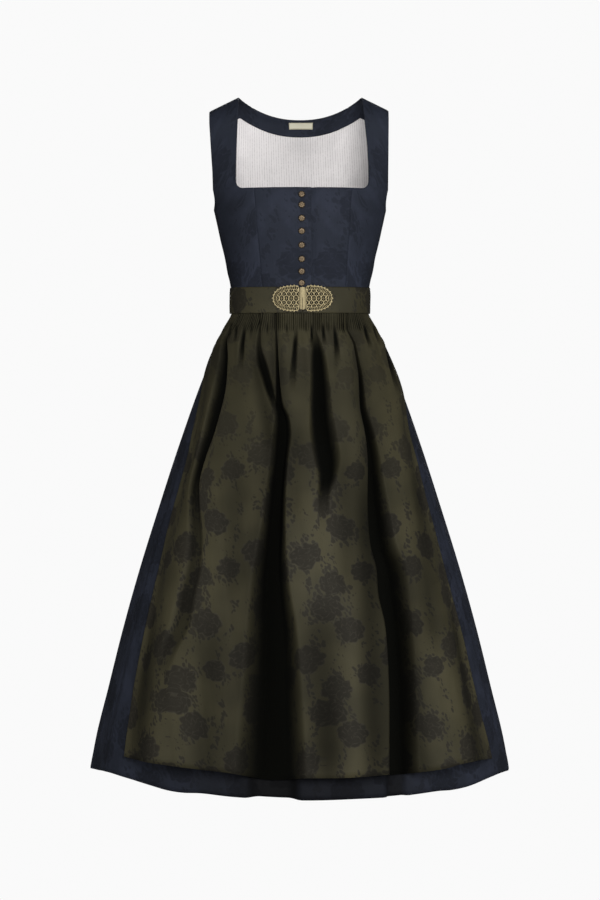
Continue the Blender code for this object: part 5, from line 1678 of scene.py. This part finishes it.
stage = {
    "floor": -1.46,
    "floorHalf": 14.0,
    "pale": (0.955, 0.955, 0.955, 1.0),    # as the camera sees it
    "dull": (0.25, 0.25, 0.25, 1.0),       # as the light sees it, so that the floor sends little back
    "world": 0.07,
    # a soft key close to the camera, and lower side lights that reach the spread skirt:
    # place, what it looks at, size, power
    "lights": {
        "keyLight": ((0.5, -4.0, 0.45), (0.0, 0.0, -0.5), 1.5, 110.0),
        "lowRightLight": ((2.9, -2.4, -0.7), (0.25, 0.0, -0.90), 1.4, 46.0),
        "lowLeftLight": ((-2.9, -2.4, -0.8), (-0.25, 0.0, -0.90), 1.4, 34.0),
        "backLight": ((0.0, 4.0, 0.6), (0.0, 0.0, -0.6), 2.0, 90.0),
    },
}


def stageMaterial():
    material = bpy.data.materials.new("paleStage")
    material.use_nodes = True
    tree = material.node_tree
    tree.nodes.clear()
    seen = placeNode(tree, "ShaderNodeLightPath", {}, "Is Camera Ray")
    dull = placeNode(tree, "ShaderNodeBsdfDiffuse", {"Color": stage["dull"]})
    pale = placeNode(tree, "ShaderNodeEmission", {"Color": stage["pale"]})
    mixed = placeNode(tree, "ShaderNodeMixShader", {0: seen, 1: dull, 2: pale})
    feed(nodeIn(tree, "ShaderNodeOutputMaterial").inputs["Surface"], mixed)
    return material


def makeStage():
    mesh = bpy.data.meshes.new("paleFloor")
    half = stage["floorHalf"]
    corners = [(-half, -half), (half, -half), (half, half), (-half, half)]
    mesh.from_pydata([(x, y, stage["floor"]) for x, y in corners], [], [(0, 1, 2, 3)])
    linkMesh("paleFloor", mesh, stageMaterial())
    world = bpy.data.worlds.new("paleRoom")
    world.use_nodes = True
    seen = placeNode(world.node_tree, "ShaderNodeLightPath", {}, "Is Camera Ray")
    background = world.node_tree.nodes["Background"].inputs
    feed(background["Color"], stage["pale"])
    feed(background["Strength"], seen.between(stage["world"], 1.0))
    bpy.context.scene.world = world


def makeLights():
    for name, (place, target, size, power) in stage["lights"].items():
        data = bpy.data.lights.new(name, "AREA")
        data.shape = "SQUARE"
        data.size = size
        data.energy = power
        lamp = bpy.data.objects.new(name, data)
        lamp.location = place
        x, y, z = np.array(place) - np.array(target)
        lamp.rotation_euler = (math.atan2(math.hypot(x, y), z), 0.0, math.atan2(x, -y))
        bpy.context.collection.objects.link(lamp)
    bpy.context.scene.view_settings.view_transform = "Standard"
    bpy.context.scene.view_settings.look = "None"


# Flat cut of each sheet: width, length, area, how it is held, and what it rests on

cuts = {
    "frontLap": (0.104, 0.200, 0.0190, "laid", ["frontUnder", "sideFrontRight"]),
    "frontUnder": (0.106, 0.200, 0.0195, "laid", ["sideFrontLeft"]),
    "sideFrontRight": (0.150, 0.400, 0.0340, "hung", ["sideBackRight"]),
    "sideFrontLeft": (0.140, 0.400, 0.0300, "hung", ["sideBackLeft"]),
    "centreBack": (0.180, 0.356, 0.0455, "hung", ["sideBackRight", "sideBackLeft"]),
    "sideBackRight": (0.150, 0.400, 0.0410, "hung", ["centreBack"]),
    "sideBackLeft": (0.150, 0.400, 0.0410, "hung", ["centreBack"]),
    "backLining": (0.345, 0.345, 0.1090, "laid", ["centreBack", "sideBackRight", "sideBackLeft"]),
    "neckFacing": (0.250, 0.062, 0.0087, "laid", ["centreBack", "backLining"]),
    "neckLabel": (0.044, 0.0125, 0.00055, "laid", ["neckFacing"]),
    "frontWidth": (1.150, 0.860, 0.8000, "gathered", ["frontLap", "frontUnder", "sideFrontRight", "sideFrontLeft"]),
    "backWidthLeft": (0.660, 0.860, 0.4400, "gathered", ["centreBack", "sideBackLeft"]),
    "backWidthRight": (0.660, 0.860, 0.4400, "gathered", ["centreBack", "sideBackRight"]),
    "apronCloth": (0.950, 0.800, 0.7400, "gathered", ["waistBelt", "frontWidth"]),
    "waistBelt": (0.700, 0.0465, 0.0325, "stretched", ["frontLap", "frontUnder", "centreBack", "apronCloth"]),
}


# Everything is made here, one piece after another

makeStage()
makeLights()
print("stage and light made")

navyBodice = navyDamask("navyBodice", *navyLook["bodice"])
navySkirt = navyDamask("navySkirt", *navyLook["skirt"])
oliveApron = oliveBrocade("oliveApron", *oliveLook["apron"])
oliveBelt = oliveBrocade("oliveBelt", *oliveLook["belt"])
paleGold = oldMetal("paleGold", *metalLook["clasp"])
oldBrass = oldMetal("oldBrass", *metalLook["buttons"])

sheets = [
    frontLap(navyBodice),
    frontUnder(navyBodice),
    frontSide("sideFrontRight", -1, navyBodice, "front_side_right", 21),
    frontSide("sideFrontLeft", 1, navyBodice, "front_side_left", 23),
    backPanel("centreBack", -1.0, 1.0, navyBodice, "back_centre", 25, 0.0),
    backPanel("sideBackRight", -2.0, -1.0, navyBodice, "back_side_right", 27, -halfSeam),
    backPanel("sideBackLeft", 1.0, 2.0, navyBodice, "back_side_left", 29, halfSeam),
]
print("bodice panels made")
sheets += [backLining(stripedLining()), neckFacing(navyBodice), neckLabel(wovenLabel())]
print("lining, facing and label made")
sheets += [
    skirtWidth("frontWidth", -90.0, 90.0, 300, navySkirt, "skirt_front"),
    skirtWidth("backWidthLeft", 90.0, 180.0, 210, navySkirt, "skirt_back_left"),
    skirtWidth("backWidthRight", -180.0, -90.0, 210, navySkirt, "skirt_back_right"),
]
print("skirt made")
sheets += [apronCloth(oliveApron), waistBelt(oliveBelt)]
print("apron and belt made")
claspHalf("claspRight", -1, paleGold, "clasp_right")
claspHalf("claspLeft", 1, paleGold, "clasp_left")
claspBar(paleGold)
for number, height in enumerate(button["heights"], start=1):
    flowerButton(number, height, oldBrass)
print("clasp and buttons made")

for item, area in sheets:
    width, length, flatArea, held, rests = cuts[item.name]
    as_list(rests)
    print("%s: area %.4f, cut %.4f square metres" % (item.name, area, flatArea))
